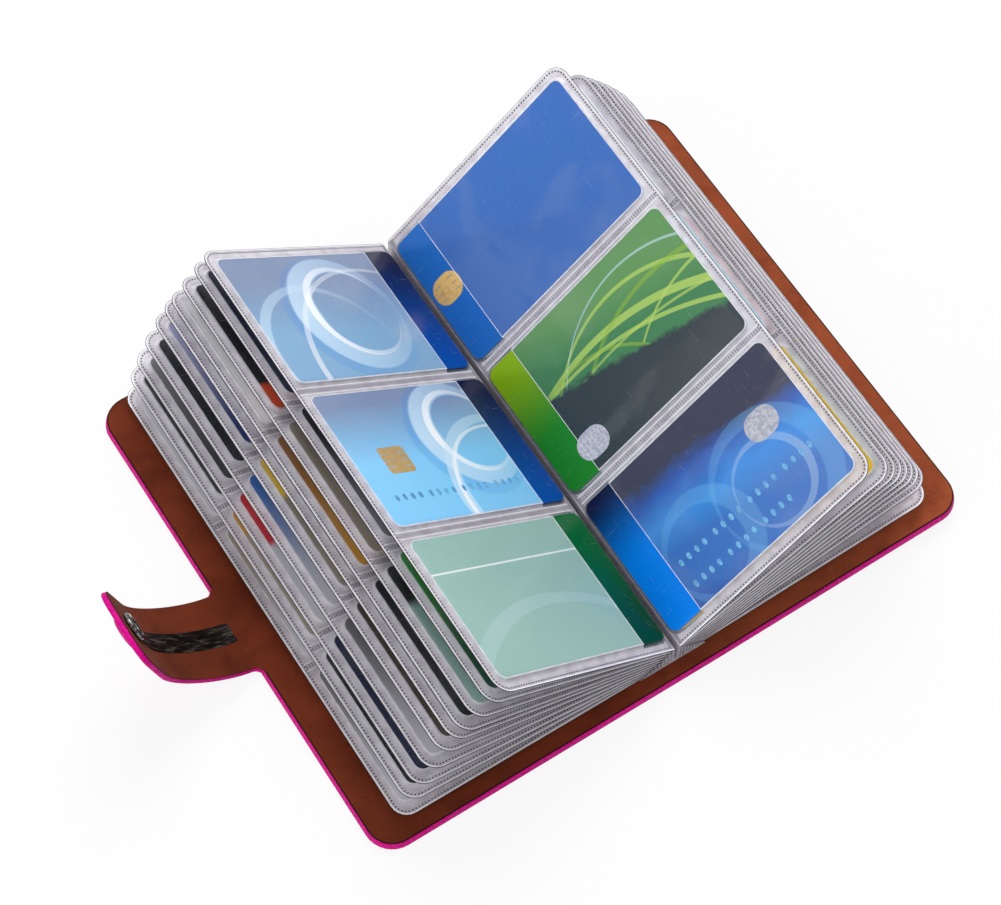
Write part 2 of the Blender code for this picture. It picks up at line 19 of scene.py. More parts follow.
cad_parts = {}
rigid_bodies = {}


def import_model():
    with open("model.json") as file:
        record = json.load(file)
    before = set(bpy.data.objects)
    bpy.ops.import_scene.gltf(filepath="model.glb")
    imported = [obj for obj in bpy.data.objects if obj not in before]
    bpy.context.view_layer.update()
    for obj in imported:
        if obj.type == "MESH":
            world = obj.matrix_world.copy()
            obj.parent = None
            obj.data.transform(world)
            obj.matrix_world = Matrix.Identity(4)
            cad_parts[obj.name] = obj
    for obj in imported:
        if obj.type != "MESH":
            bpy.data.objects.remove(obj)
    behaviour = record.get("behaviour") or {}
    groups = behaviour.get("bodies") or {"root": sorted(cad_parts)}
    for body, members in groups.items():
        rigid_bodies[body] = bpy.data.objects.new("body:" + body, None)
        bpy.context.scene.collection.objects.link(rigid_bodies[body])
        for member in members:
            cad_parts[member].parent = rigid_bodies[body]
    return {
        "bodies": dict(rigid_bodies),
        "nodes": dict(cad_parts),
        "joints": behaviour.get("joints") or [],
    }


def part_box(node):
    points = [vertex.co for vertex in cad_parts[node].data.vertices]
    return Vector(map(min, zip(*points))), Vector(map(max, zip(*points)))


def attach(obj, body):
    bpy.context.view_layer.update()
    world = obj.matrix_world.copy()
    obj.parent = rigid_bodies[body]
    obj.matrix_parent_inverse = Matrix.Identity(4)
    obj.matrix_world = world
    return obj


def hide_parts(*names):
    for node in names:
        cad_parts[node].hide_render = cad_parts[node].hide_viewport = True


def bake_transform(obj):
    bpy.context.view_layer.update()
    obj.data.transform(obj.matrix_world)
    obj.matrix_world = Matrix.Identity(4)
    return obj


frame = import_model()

MM = 0.001
TOUCH = 1e-7
QUARTER = math.pi / 2
UNMOVED = Matrix()
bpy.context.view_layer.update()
NODES = frame["nodes"]
JOINTS = {joint["name"]: joint for joint in frame["joints"]}

log = logging.getLogger("card_book")

Point = tuple[float, float]
Spot = tuple[float, float, float]
Loop = list[Spot]
Colour = tuple[float, float, float, float]
Corner = bmesh.types.BMVert
Material = bpy.types.Material
Mesh = bpy.types.Mesh
Piece = bpy.types.Object
Socket = bpy.types.NodeSocket
Tree = bpy.types.NodeTree
Sockets = dict[str, Socket]


class Side(Enum):
    """Which half of the open book, as the sign of its X."""

    LEFT = -1
    RIGHT = 1

    @property
    def word(self) -> str:
        """The word that this side's pieces start with."""
        return self.name.lower()

    @property
    def cover(self) -> str:
        """The cover body on this side."""
        return "front_cover" if self is Side.LEFT else "back_cover"


class Place(Enum):
    """The three pockets of a leaf, by their row from the tail."""

    TAIL = 0
    MIDDLE = 1
    HEAD = 2


class Tone(Enum):
    """Printed colours of the cards, in display values."""

    NAVY = (14, 20, 56)
    INK = (38, 40, 66)
    DEEP = (10, 44, 112)
    ROYAL = (10, 76, 166)
    AZURE = (2, 128, 240)
    BLUE = (40, 98, 178)
    COBALT = (34, 104, 188)
    OCEAN = (26, 132, 216)
    SKY = (124, 198, 242)
    HAZE = (126, 168, 204)
    PALE = (206, 230, 246)
    STEEL = (118, 136, 170)
    WHITE = (248, 249, 252)
    SILVER = (188, 188, 196)
    GREY = (110, 108, 110)
    BLACK = (16, 16, 19)
    FOREST = (4, 66, 40)
    PINE = (2, 102, 50)
    LEAF = (30, 132, 40)
    LIME = (132, 172, 18)
    MEADOW = (86, 138, 76)
    FERN = (48, 118, 68)
    SLATE = (24, 40, 48)
    MINT = (144, 182, 172)
    SAGE = (150, 186, 176)
    BLADE = (176, 206, 92)
    YELLOW = (236, 196, 40)
    GOLD = (196, 140, 44)
    ORANGE = (214, 74, 34)
    RED = (196, 22, 36)
    PINK = (214, 168, 178)
    TAN = (150, 140, 124)
    BROWN = (150, 98, 50)
    UMBER = (74, 62, 54)
    LAVENDER = (172, 174, 216)

    @property
    def rgba(self) -> Colour:
        """The tone as a scene colour."""
        return display(self.value)


def display(values: Spot) -> Colour:
    """Turn display values into a scene colour.

    Args:
        values: Red, green and blue from 0 to 255.

    Returns:
        The linear colour, opaque.
    """
    shares = [value / 255 for value in values]
    linear = [share / 12.92 if share <= 0.04045 else ((share + 0.055) / 1.055) ** 2.4 for share in shares]
    return (*linear, 1.0)


def ease(share: float) -> float:
    """The smooth step from 0 to 1."""
    held = min(1.0, max(0.0, share))
    return held * held * (3 - 2 * held)


def leaf_frame(side: Side, angle: float, origin: Sequence[float]) -> Matrix:
    """Place a piece that turns about a fold line.

    Args:
        side: Which half of the book the piece lies on.
        angle: How far the piece rises from the table, in radians.
        origin: A point on the fold line.

    Returns:
        The matrix whose first axis leads away from the spine and whose third points up from the piece.
    """
    sign, rise, run = side.value, math.sin(angle), math.cos(angle)
    turn = Matrix(((sign * run, 0.0, -sign * rise), (0.0, sign, 0.0), (rise, 0.0, run)))
    return Matrix.Translation(origin) @ turn.to_4x4()


class Graph:
    """Places the nodes of one shader or geometry tree and links them as they come."""

    def __init__(self, tree: Tree) -> None:
        """Hold the tree, emptied."""
        self.tree = tree
        tree.nodes.clear()

    def add(self, kind: str, feeds: dict | None = None, **settings: object) -> bpy.types.Node:
        """Add one node.

        Args:
            kind: The node's type name.
            feeds: Values or output sockets for its inputs, by name or number.
            settings: Properties of the node, set before its inputs.

        Returns:
            The new node.
        """
        node = self.tree.nodes.new(kind)
        for name, value in settings.items():
            setattr(node, name, value)
        for key, value in (feeds or {}).items():
            if isinstance(value, Socket):
                self.tree.links.new(value, node.inputs[key])
            else:
                node.inputs[key].default_value = value
        return node

    def out(self, kind: str, feeds: dict | None = None, socket: int | str = 0, **settings: object) -> Socket:
        """One output of a new node."""
        return self.add(kind, feeds, **settings).outputs[socket]

    def math(self, operation: str, *values: object, clamp: bool = False) -> Socket:
        """The result of a Math node on these values or sockets."""
        return self.out("ShaderNodeMath", dict(enumerate(values)), operation=operation, use_clamp=clamp)

    def plus(self, first: object, second: object) -> Socket:
        """The sum of two values or sockets."""
        return self.math("ADD", first, second)

    def less(self, first: object, second: object) -> Socket:
        """The first without the second."""
        return self.math("SUBTRACT", first, second)

    def times(self, first: object, second: object) -> Socket:
        """The product of two values or sockets."""
        return self.math("MULTIPLY", first, second)

    def mix(self, share: object, first: object, second: object) -> Socket:
        """A colour that goes from first to second with the share."""
        return self.out("ShaderNodeMix", {0: share, 6: first, 7: second}, 2, data_type="RGBA")

    def band(self, value: object, low: float, high: float, start: float = 0.0, end: float = 1.0) -> Socket:
        """A value carried smoothly from one range to another."""
        feeds = {"Value": value, "From Min": low, "From Max": high, "To Min": start, "To Max": end}
        return self.out("ShaderNodeMapRange", feeds, interpolation_type="SMOOTHSTEP")

    def noise(self, place: Socket, scale: object, detail: float, **feeds: float) -> Socket:
        """Cloudy noise."""
        return self.out("ShaderNodeTexNoise", {"Vector": place, "Scale": scale, "Detail": detail, **feeds})

    def bump(self, height: object, strength: float, depth: float) -> Socket:
        """The normal of a height in shares of the depth."""
        return self.out("ShaderNodeBump", {"Height": height, "Strength": strength, "Distance": depth})

    def split(self, vector: Socket) -> Sockets:
        """The X, Y and Z of a vector."""
        return self.add("ShaderNodeSeparateXYZ", {0: vector}).outputs

    def object_place(self) -> Socket:
        """The object's own coordinates."""
        return self.out("ShaderNodeTexCoord", socket="Object")

    def group(self, tree: Tree, **feeds: object) -> Sockets:
        """The outputs of a shader group with these inputs."""
        return self.add("ShaderNodeGroup", feeds, node_tree=tree).outputs


def shader_group(name: str, takes: dict[str, float], draw: Callable[[Graph, Sockets], Sockets]) -> Tree:
    """Build a shader group that reads a Vector and these values.

    Args:
        name: The group's name.
        takes: Input names with their default values.
        draw: Places the nodes from the group's inputs and returns its outputs.

    Returns:
        The group's tree.
    """
    tree = bpy.data.node_groups.new(name, "ShaderNodeTree")
    tree.interface.new_socket(name="Vector", in_out="INPUT", socket_type="NodeSocketVector")
    for title, value in takes.items():
        socket = tree.interface.new_socket(name=title, in_out="INPUT", socket_type="NodeSocketFloat")
        socket.default_value = value
    graph = Graph(tree)
    made = draw(graph, graph.add("NodeGroupInput").outputs)
    for title in made:
        tree.interface.new_socket(name=title, in_out="OUTPUT", socket_type="NodeSocketFloat")
    graph.add("NodeGroupOutput", made)
    return tree


class Effects:
    """The shader groups that several finishes share, each built once."""

    def __init__(self) -> None:
        """Build every group."""
        arc = {"Across": 0.0, "Along": 0.0, "Radius": 0.4, "Width": 0.05, "Fade": 0.3}
        self.grain = shader_group("pebbled_grain", {"Scale": 900.0}, self.pebbles)
        self.nap = shader_group("soft_nap", {"Fibre": 2600.0, "Cloud": 60.0}, self.fibres)
        self.haze = shader_group("film_haze", {"Cloud": 26.0}, self.clouds)
        self.scuffs = shader_group("hairline_scuffs", {"Scale": 90.0}, self.scratches)
        self.arc = shader_group("arc_ribbon", arc, self.ribbon)

    @staticmethod
    def pebbles(graph: Graph, given: Sockets) -> Sockets:
        """Pebbled leather: rounded cells of two sizes with fine pores.

        Args:
            graph: The group's graph.
            given: The group's inputs.

        Returns:
            The grain's height, and how deep in a valley a place lies.
        """
        place, scale = given["Vector"], given["Scale"]
        large = graph.out("ShaderNodeTexVoronoi", {"Vector": place, "Scale": scale}, feature="SMOOTH_F1")
        fine = graph.noise(place, graph.times(scale, 2.6), 3.0)
        cells = graph.band(large, 0.15, 0.75)
        return {"Height": graph.less(graph.times(fine, 0.45), cells), "Valley": cells}

    @staticmethod
    def fibres(graph: Graph, given: Sockets) -> Sockets:
        """Brushed soft lining: short fibres with a cloudy shade.

        Args:
            graph: The group's graph.
            given: The group's inputs.

        Returns:
            The fibres' height and shade.
        """
        fibre = graph.noise(given["Vector"], given["Fibre"], 4.0, Roughness=0.7)
        cloud = graph.noise(given["Vector"], given["Cloud"], 4.0, Distortion=0.6)
        return {"Height": fibre, "Shade": graph.plus(graph.times(fibre, 0.45), graph.times(cloud, 0.55))}

    @staticmethod
    def clouds(graph: Graph, given: Sockets) -> Sockets:
        """Cloudy haze of clear film."""
        cloud = graph.noise(given["Vector"], given["Cloud"], 3.0, Distortion=1.4)
        return {"Haze": graph.band(cloud, 0.42, 0.66)}

    @staticmethod
    def scratches(graph: Graph, given: Sockets) -> Sockets:
        """Hairline scratches in two directions.

        Args:
            graph: The group's graph.
            given: The group's inputs.

        Returns:
            The scratches' mask.
        """
        marks = []
        for turn, stretch in ((0.5, (1.0, 14.0, 1.0)), (-0.9, (12.0, 1.0, 1.0))):
            feeds = {"Vector": given["Vector"], "Rotation": (0.0, 0.0, turn), "Scale": stretch}
            noise = graph.noise(graph.out("ShaderNodeMapping", feeds), given["Scale"], 2.0)
            marks.append(graph.band(noise, 0.68, 0.74))
        return {"Scuffs": graph.math("MAXIMUM", *marks)}

    @staticmethod
    def ribbon(graph: Graph, given: Sockets) -> Sockets:
        """A curved ribbon: the band about a circle that narrows and fades to one end.

        Args:
            graph: The group's graph.
            given: The group's inputs.

        Returns:
            The ribbon's mask.
        """
        parts = graph.split(given["Vector"])
        across = graph.less(parts["X"], given["Across"])
        along = graph.less(parts["Y"], given["Along"])
        reach = graph.math("SQRT", graph.plus(graph.times(across, across), graph.times(along, along)))
        away = graph.math("ABSOLUTE", graph.less(reach, given["Radius"]))
        run = graph.math("ABSOLUTE", graph.math("DIVIDE", graph.math("ARCTAN2", along, across), math.pi))
        width = graph.times(given["Width"], graph.less(1.1, run))
        inside = graph.math("SUBTRACT", 1.0, graph.math("DIVIDE", away, width), clamp=True)
        held = graph.math("SUBTRACT", 1.0, graph.times(run, given["Fade"]), clamp=True)
        return {"Mask": graph.times(graph.band(inside, 0.0, 0.25), held)}


@dataclass(frozen=True)
class Finish:
    """What every finish has: a name and the way to its Principled material."""

    name: str

    def constants(self) -> dict[str, float]:
        """Values set on the shader's own sockets."""
        return {}

    def draw(self, graph: Graph, effects: Effects) -> Sockets:
        """What feeds the shader's other inputs, by their names."""
        return {}

    def build(self, effects: Effects) -> Material:
        """Build the material.

        Args:
            effects: The shared shader groups.

        Returns:
            The new material.
        """
        material = bpy.data.materials.new(self.name)
        material.use_nodes = True
        graph = Graph(material.node_tree)
        shader = graph.add("ShaderNodeBsdfPrincipled", self.constants())
        graph.add("ShaderNodeOutputMaterial", {"Surface": shader.outputs[0]})
        for name, socket in self.draw(graph, effects).items():
            graph.tree.links.new(socket, shader.inputs[name])
        return material


@dataclass(frozen=True)
class GrainedSkin(Finish):
    """Coloured artificial leather with a pebbled grain, darker in its valleys."""

    colour: Spot
    valley: Spot
    grain_scale: float = 1100.0
    grain_depth: float = 0.10 * MM
    roughness: float = 0.5

    def constants(self) -> dict[str, float]:
        """A dull leather gloss."""
        return {"Specular IOR Level": 0.09}

    def draw(self, graph: Graph, effects: Effects) -> Sockets:
        """Draw the grain.

        Args:
            graph: The material's graph.
            effects: The shared shader groups.

        Returns:
            What feeds the shader.
        """
        place = graph.object_place()
        grain = graph.group(effects.grain, Vector=place, Scale=self.grain_scale)
        cloud = graph.band(graph.noise(place, 45.0, 4.0), 0.35, 0.7, 0.0, 0.25)
        shade = graph.plus(graph.times(grain["Valley"], 0.5), cloud)
        return {
            "Base Color": graph.mix(shade, display(self.colour), display(self.valley)),
            "Roughness": graph.band(grain["Valley"], 0.0, 1.0, self.roughness - 0.08, self.roughness + 0.14),
            "Normal": graph.bump(grain["Height"], 0.55, self.grain_depth),
        }


@dataclass(frozen=True)
class NappedLining(Finish):
    """Soft lining with short brushed fibres, mixed towards a paler tone along X, towards the back cover."""

    low: Spot
    high: Spot
    faded: Spot
    fade_from: float = -40.0 * MM
    fade_to: float = 110.0 * MM
    nap_depth: float = 0.08 * MM

    def constants(self) -> dict[str, float]:
        """A matt surface with a trace of sheen."""
        return {"Specular IOR Level": 0.06, "Sheen Weight": 0.04, "Sheen Roughness": 0.5}

    def draw(self, graph: Graph, effects: Effects) -> Sockets:
        """Draw the nap.

        Args:
            graph: The material's graph.
            effects: The shared shader groups.

        Returns:
            What feeds the shader.
        """
        place = graph.object_place()
        nap = graph.group(effects.nap, Vector=place)
        # paler along X towards the back cover, in patches from the nap's cloudy tone
        paler_share = graph.band(graph.split(place)["X"], self.fade_from, self.fade_to)
        paler_mix = graph.times(paler_share, graph.band(nap["Shade"], 0.2, 0.6))
        fresh = graph.mix(graph.band(nap["Shade"], 0.34, 0.66), display(self.low), display(self.high))
        return {
            "Base Color": graph.mix(paler_mix, fresh, display(self.faded)),
            "Roughness": graph.band(nap["Shade"], 0.3, 0.7, 0.8, 0.92),
            "Normal": graph.bump(nap["Height"], 0.5, self.nap_depth),
        }


@dataclass(frozen=True)
class ClearFilm(Finish):
    """Clear soft film with a faint cloudy haze and hairline scuffs, in scene colours."""

    tint: Colour
    clear: float
    hazy: float
    roughness: float = 0.16
    cloudy: Colour = (0.82, 0.85, 0.90, 1.0)

    def constants(self) -> dict[str, float]:
        """The gloss of soft film."""
        return {"Specular IOR Level": 0.28}

    def draw(self, graph: Graph, effects: Effects) -> Sockets:
        """Draw the haze and the scuffs.

        Args:
            graph: The material's graph.
            effects: The shared shader groups.

        Returns:
            What feeds the shader.
        """
        place = graph.object_place()
        haze = graph.group(effects.haze, Vector=place)["Haze"]
        scuffs = graph.group(effects.scuffs, Vector=place)["Scuffs"]
        cover = graph.math("ADD", haze, graph.times(scuffs, 0.4), clamp=True)
        return {
            "Base Color": graph.mix(haze, self.tint, self.cloudy),
            "Roughness": graph.band(haze, 0.0, 1.0, self.roughness, self.roughness + 0.1),
            "Alpha": graph.band(cover, 0.0, 1.0, self.clear, self.hazy),
        }


@dataclass(frozen=True)
class Laminate(Finish):
    """A card's glossy plastic: a print, which each kind of card gives, under fine scuffs."""

    SHARE: ClassVar[float] = 53.98 / 85.6
    ROUGH: ClassVar[Point] = (0.28, 0.45)

    def constants(self) -> dict[str, float]:
        """The gloss of laminate."""
        return {"Specular IOR Level": 0.16}

    def printed(self, graph: Graph, effects: Effects, place: Socket) -> Socket:
        """The print's colour at a place of the card's own map."""
        raise NotImplementedError

    def draw(self, graph: Graph, effects: Effects) -> Sockets:
        """Draw the print and its scuffs.

        Args:
            graph: The material's graph.
            effects: The shared shader groups.

        Returns:
            What feeds the shader.
        """
        place = graph.out("ShaderNodeUVMap")
        scuffs = graph.group(effects.scuffs, Vector=place, Scale=9.0)["Scuffs"]
        printed = self.printed(graph, effects, place)
        return {
            "Base Color": graph.mix(graph.times(scuffs, 0.08), printed, Tone.SILVER.rgba),
            "Roughness": graph.band(scuffs, 0.0, 1.0, *self.ROUGH),
        }


@dataclass(frozen=True)
class TwoToneCard(Laminate):
    """A card in one printed colour that turns to another from tail to head."""

    tail: Tone
    head: Tone
    turn_share: float = 0.5
    soft_share: float = 0.45

    def printed(self, graph: Graph, effects: Effects, place: Socket) -> Socket:
        """The print's colour.

        Args:
            graph: The material's graph.
            effects: The shared shader groups.
            place: The card's own map.

        Returns:
            The colour's socket.
        """
        up = graph.math("DIVIDE", graph.split(place)["Y"], self.SHARE)
        share = graph.band(up, self.turn_share - self.soft_share, self.turn_share + self.soft_share)
        return graph.mix(share, self.tail.rgba, self.head.rgba)


@dataclass(frozen=True)
class Ribbon:
    """One curved ribbon of a card's print, in card lengths from the gutter edge and the tail edge."""

    centre_share: Point
    radius_share: float
    width_share: float
    tone: Tone
    fade_share: float
    weight: float


@dataclass(frozen=True)
class ArtCard(Laminate):
    """A card with a printed sweep of tones, a darker band at the gutter, curved ribbons and a hairline."""

    ROUGH: ClassVar[Point] = (0.26, 0.42)

    stops: tuple[tuple[float, Tone], ...]
    turn_deg: float
    band: tuple[Tone, Tone]
    ribbons: tuple[Ribbon, ...] = ()
    hairline_share: float = 0.0
    wave_share: float = 0.03
    ripple_share: float = 0.0
    band_share: float = 0.152
    band_turn: float = 0.0
    ribbons_to: float = 2.0

    def sweep(self, graph: Graph, place: Socket) -> Socket:
        """How far a place lies along the sweep, from 0 at the first corner to 1 at the last.

        Args:
            graph: The material's graph.
            place: The card's own map.

        Returns:
            The share's socket.
        """
        turn = math.radians(self.turn_deg)
        way = (math.cos(turn), math.sin(turn))
        reaches = [way[0] * x + way[1] * y for x in (0.0, 1.0) for y in (0.0, self.SHARE)]
        low, span = min(reaches), max(reaches) - min(reaches)
        heading = (way[0] / span, way[1] / span, 0.0)
        along = graph.out("ShaderNodeVectorMath", {0: place, 1: heading}, "Value", operation="DOT_PRODUCT")
        waves = graph.times(graph.less(graph.noise(place, 2.3, 3.0), 0.5), self.wave_share * 4)
        if self.ripple_share:
            fine = graph.less(graph.noise(place, 16.0, 4.0, Roughness=0.65), 0.5)
            waves = graph.plus(waves, graph.times(fine, self.ripple_share * 4))
        return graph.plus(graph.less(along, low / span), waves)

    def printed(self, graph: Graph, effects: Effects, place: Socket) -> Socket:
        """The print's colour.

        Args:
            graph: The material's graph.
            effects: The shared shader groups.
            place: The card's own map.

        Returns:
            The colour's socket.
        """
        parts = graph.split(place)
        along = self.sweep(graph, place)
        ramp = graph.add("ShaderNodeValToRGB", {0: along})
        elements = ramp.color_ramp.elements
        for share, tone in self.stops:
            stop = elements.new(share) if 0 < share < 1 else elements[round(share) and len(elements) - 1]
            stop.color = tone.rgba
        colour = ramp.outputs["Color"]
        drawn = graph.band(along, self.ribbons_to, self.ribbons_to + 0.03, 1.0, 0.0)
        for ribbon in self.ribbons:
            arc = graph.group(
                effects.arc, Vector=place, Across=ribbon.centre_share[0], Along=ribbon.centre_share[1],
                Radius=ribbon.radius_share, Width=ribbon.width_share, Fade=ribbon.fade_share,
            )
            shown = graph.times(graph.times(arc["Mask"], ribbon.weight), drawn)
            colour = graph.mix(shown, colour, ribbon.tone.rgba)
        if self.hairline_share:
            away = graph.math("ABSOLUTE", graph.less(parts["Y"], self.hairline_share))
            line = graph.less(1.0, graph.band(away, 0.002, 0.006))
            colour = graph.mix(graph.times(line, 0.7), colour, Tone.WHITE.rgba)
        up = graph.band(parts["Y"], self.band_turn * self.SHARE, self.SHARE)
        gutter = graph.mix(up, *(tone.rgba for tone in self.band))
        inside = graph.band(parts["X"], self.band_share - 0.003, self.band_share + 0.003)
        return graph.mix(inside, gutter, colour)


@dataclass(frozen=True)
class Metal(Finish):
    """Plated metal, smudged and finely worn, in scene colours."""

    colour: Colour
    dark: Colour
    roughness: float

    def constants(self) -> dict[str, float]:
        """All metal."""
        return {"Metallic": 1.0}

    def draw(self, graph: Graph, effects: Effects) -> Sockets:
        """Draw the smudges.

        Args:
            graph: The material's graph.
            effects: The shared shader groups.

        Returns:
            What feeds the shader.
        """
        smudge = graph.noise(graph.object_place(), 700.0, 4.0)
        return {
            "Base Color": graph.mix(graph.band(smudge, 0.4, 0.7), self.colour, self.dark),
            "Roughness": graph.band(smudge, 0.3, 0.7, self.roughness - 0.06, self.roughness + 0.14),
        }


@dataclass(frozen=True)
class CreasedHide(Finish):
    """Dark creased leather with painted highlights: pale lines on its crease crests that run along the strap,
    on its tail half only.
    """

    colour: Spot
    crest: Spot
    stretch: Spot = (150.0, 1100.0, 150.0)
    tail_from: float = 3.0 * MM
    tail_to: float = -1.5 * MM
    crease_depth: float = 0.3 * MM

    def constants(self) -> dict[str, float]:
        """The gloss of rubbed leather."""
        return {"Specular IOR Level": 0.22}

    def draw(self, graph: Graph, effects: Effects) -> Sockets:
        """Draw the creases and the painted highlights on their crests.

        Args:
            graph: The material's graph.
            effects: The shared shader groups.

        Returns:
            What feeds the shader.
        """
        place = graph.object_place()
        drawn = graph.out("ShaderNodeVectorMath", {0: place, 1: self.stretch}, operation="MULTIPLY")
        noise = graph.noise(drawn, 1.0, 5.0, Roughness=0.62)
        half = graph.band(graph.split(place)["Y"], self.tail_to, self.tail_from, 1.0, 0.0)
        # painted highlight: pale lines on the crease crests, only on the tail half
        highlight_streaks = graph.times(graph.band(noise, 0.5, 0.66), half)
        return {
            "Base Color": graph.mix(highlight_streaks, display(self.colour), display(self.crest)),
            "Roughness": graph.band(noise, 0.3, 0.7, 0.38, 0.6),
            "Normal": graph.bump(noise, 0.6, self.crease_depth),
        }


@dataclass(frozen=True)
class Plain(Finish):
    """A small or inner piece's finish: one colour that a fine mottle varies."""

    colour: Spot
    varied: Spot
    roughness: float
    mottle: float = 800.0
    alpha: float = 1.0
    gloss: float = 0.3
    depth: float = 0.03 * MM

    def constants(self) -> dict[str, float]:
        """How much shows through, and the gloss."""
        return {"Alpha": self.alpha, "Specular IOR Level": self.gloss}

    def draw(self, graph: Graph, effects: Effects) -> Sockets:
        """Draw the mottle.

        Args:
            graph: The material's graph.
            effects: The shared shader groups.

        Returns:
            What feeds the shader.
        """
        noise = graph.noise(graph.object_place(), self.mottle, 4.0)
        share = graph.band(noise, 0.35, 0.65)
        return {
            "Base Color": graph.mix(share, display(self.colour), display(self.varied)),
            "Roughness": graph.band(noise, 0.3, 0.7, self.roughness - 0.08, self.roughness + 0.08),
            "Normal": graph.bump(noise, 0.4, self.depth),
        }


class Finishes:
    """All materials of the book, built once."""

    def __init__(self) -> None:
        """Build the shared effects and the named finishes."""
        self.effects = Effects()
        build = self.built
        self.skin = build(GrainedSkin("grained_skin", (214, 0, 137), (176, 0, 112)))
        self.lining = build(NappedLining("napped_lining", (88, 36, 20), (118, 52, 30), (156, 78, 48)))
        # the lining's cut edge in near-black is painted shade of its shadowed edge line
        self.lining_edge = build(Plain("pressed_lining_edge", (30, 12, 7), (46, 19, 11), 0.8, gloss=0.1))
        self.board = build(Plain("greyboard", (176, 158, 132), (150, 132, 108), 0.9, 300.0))
        self.frost = build(Plain("frosted_border", (224, 220, 228), (204, 198, 208), 0.38, 220.0, 0.60))
        self.window = build(ClearFilm("clear_window", (0.70, 0.75, 0.82, 1.0), 0.040, 0.070))
        self.back_film = build(ClearFilm("clear_back", (0.72, 0.76, 0.83, 1.0), 0.10, 0.16))
        self.gutter = build(Plain("gutter_film", (112, 114, 130), (146, 148, 162), 0.3, 300.0, 0.42))
        self.bright = build(Plain("bright_film_edge", (244, 243, 248), (226, 224, 232), 0.25, 500.0))
        self.ridge = build(Plain("film_ridge", (240, 239, 246), (214, 213, 224), 0.3, 400.0, 0.78))
        # the weld marks' dark colour is painted shade of the seal's small pits
        self.weld = build(Plain("weld_mark", (40, 37, 42), (70, 66, 72), 0.5, 900.0, gloss=0.2))
        # a near-black line round each leaf's edge: painted shadow
        self.rim = build(Plain("dark_cut_edge", (34, 24, 26), (62, 52, 56), 0.4, 600.0))
        self.ladder = build(Plain("ladder_weld", (104, 100, 110), (132, 128, 138), 0.5, 900.0, gloss=0.2))
        # the stiffener's dark leather, with painted highlights on its crease crests
        self.stiffener = build(CreasedHide("creased_stiffener", (8, 5, 5), (84, 74, 66)))
        self.snap = build(Metal("dark_plated_snap", (0.20, 0.19, 0.19, 1.0), (0.04, 0.035, 0.035, 1.0), 0.14))
        self.cap = build(Plain("coated_cap", (216, 8, 142), (196, 4, 128), 0.25, 300.0))
        self.chip = build(Metal("gold_contact", (0.80, 0.52, 0.20, 1.0), (0.62, 0.38, 0.12, 1.0), 0.4))
        self.silver = build(Plain("silver_print", (190, 190, 200), (150, 152, 170), 0.35, 900.0))
        # pale cyan on the raised marks is the painted highlight of embossed digits
        self.raised = build(Plain("raised_print", (120, 186, 226), (84, 150, 204), 0.35, 900.0))
        self.prints: dict[str, Material] = {}

    def built(self, finish: Finish) -> Material:
        """One finish's material."""
        return finish.build(self.effects)

    def printed(self, words: str) -> Material:
        """The print of a plain card, made when first asked for.

        Args:
            words: Its tail tone, its head tone and, if it turns elsewhere, where and over how much.

        Returns:
            The print's material.
        """
        if words not in self.prints:
            tail, head, *turn = words.split()
            turned = [float(share) for share in turn]
            marks = [str(round(100 * share)) for share in turned]
            name = "_".join(["print", tail.lower(), head.lower(), *marks])
            finish = TwoToneCard(name, Tone[tail], Tone[head], *turned)
            self.prints[words] = self.built(finish)
        return self.prints[words]


def corner_arc(centre: Point, radius: float, start: float, sweep: float, steps: int) -> list[Point]:
    """Points of an arc, from an angle over a sweep in radians."""
    turns = [start + sweep * step / steps for step in range(steps + 1)]
    return [(centre[0] + radius * math.cos(turn), centre[1] + radius * math.sin(turn)) for turn in turns]


def rounded_panel(low: Point, high: Point, radii: Sequence[float], steps: int = 6) -> list[Point]:
    """The outline of a rectangle with rounded corners, counterclockwise.

    Args:
        low: Its lowest corner.
        high: Its highest corner.
        radii: The fillets at low-low, high-low, high-high and low-high.
        steps: Segments of each fillet.

    Returns:
        The outline's points, as many whatever the radii are.
    """
    corners = ((*low, 1, 1), (high[0], low[1], -1, 1), (*high, -1, -1), (low[0], high[1], 1, -1))
    points: list[Point] = []
    for index, ((u, v, way_u, way_v), radius) in enumerate(zip(corners, radii)):
        held = max(radius, 0.02 * MM)
        centre = (u + way_u * held, v + way_v * held)
        points += corner_arc(centre, held, math.pi + index * QUARTER, QUARTER, steps)
    return points


def block(centre: Point, half_u: float, half_v: float, corner: float = 0.0, steps: int = 1) -> list[Point]:
    """The outline of a panel about its middle, with one fillet for its corners."""
    low, high = (centre[0] - half_u, centre[1] - half_v), (centre[0] + half_u, centre[1] + half_v)
    return rounded_panel(low, high, (corner,) * 4, steps)


def flat(points: Iterable[Point], height: float) -> Loop:
    """An outline's points at one height."""
    return [(u, v, height) for u, v in points]


def linked(name: str, data: bpy.types.ID) -> Piece:
    """Put a new object in the scene.

    Args:
        name: The object's name.
        data: Its mesh, curve, camera or lamp.

    Returns:
        The object.
    """
    piece = bpy.data.objects.new(name, data)
    bpy.context.scene.collection.objects.link(piece)
    return piece


def settled(helper: Piece) -> Mesh:
    """Turn a helper into the plain mesh that its curve or modifiers make.

    Args:
        helper: The object, which is removed with its own data.

    Returns:
        The mesh.
    """
    mesh = bpy.data.meshes.new_from_object(helper.evaluated_get(bpy.context.evaluated_depsgraph_get()))
    source = helper.data
    bpy.data.objects.remove(helper, do_unlink=True)
    (bpy.data.meshes if isinstance(source, Mesh) else bpy.data.curves).remove(source)
    return mesh


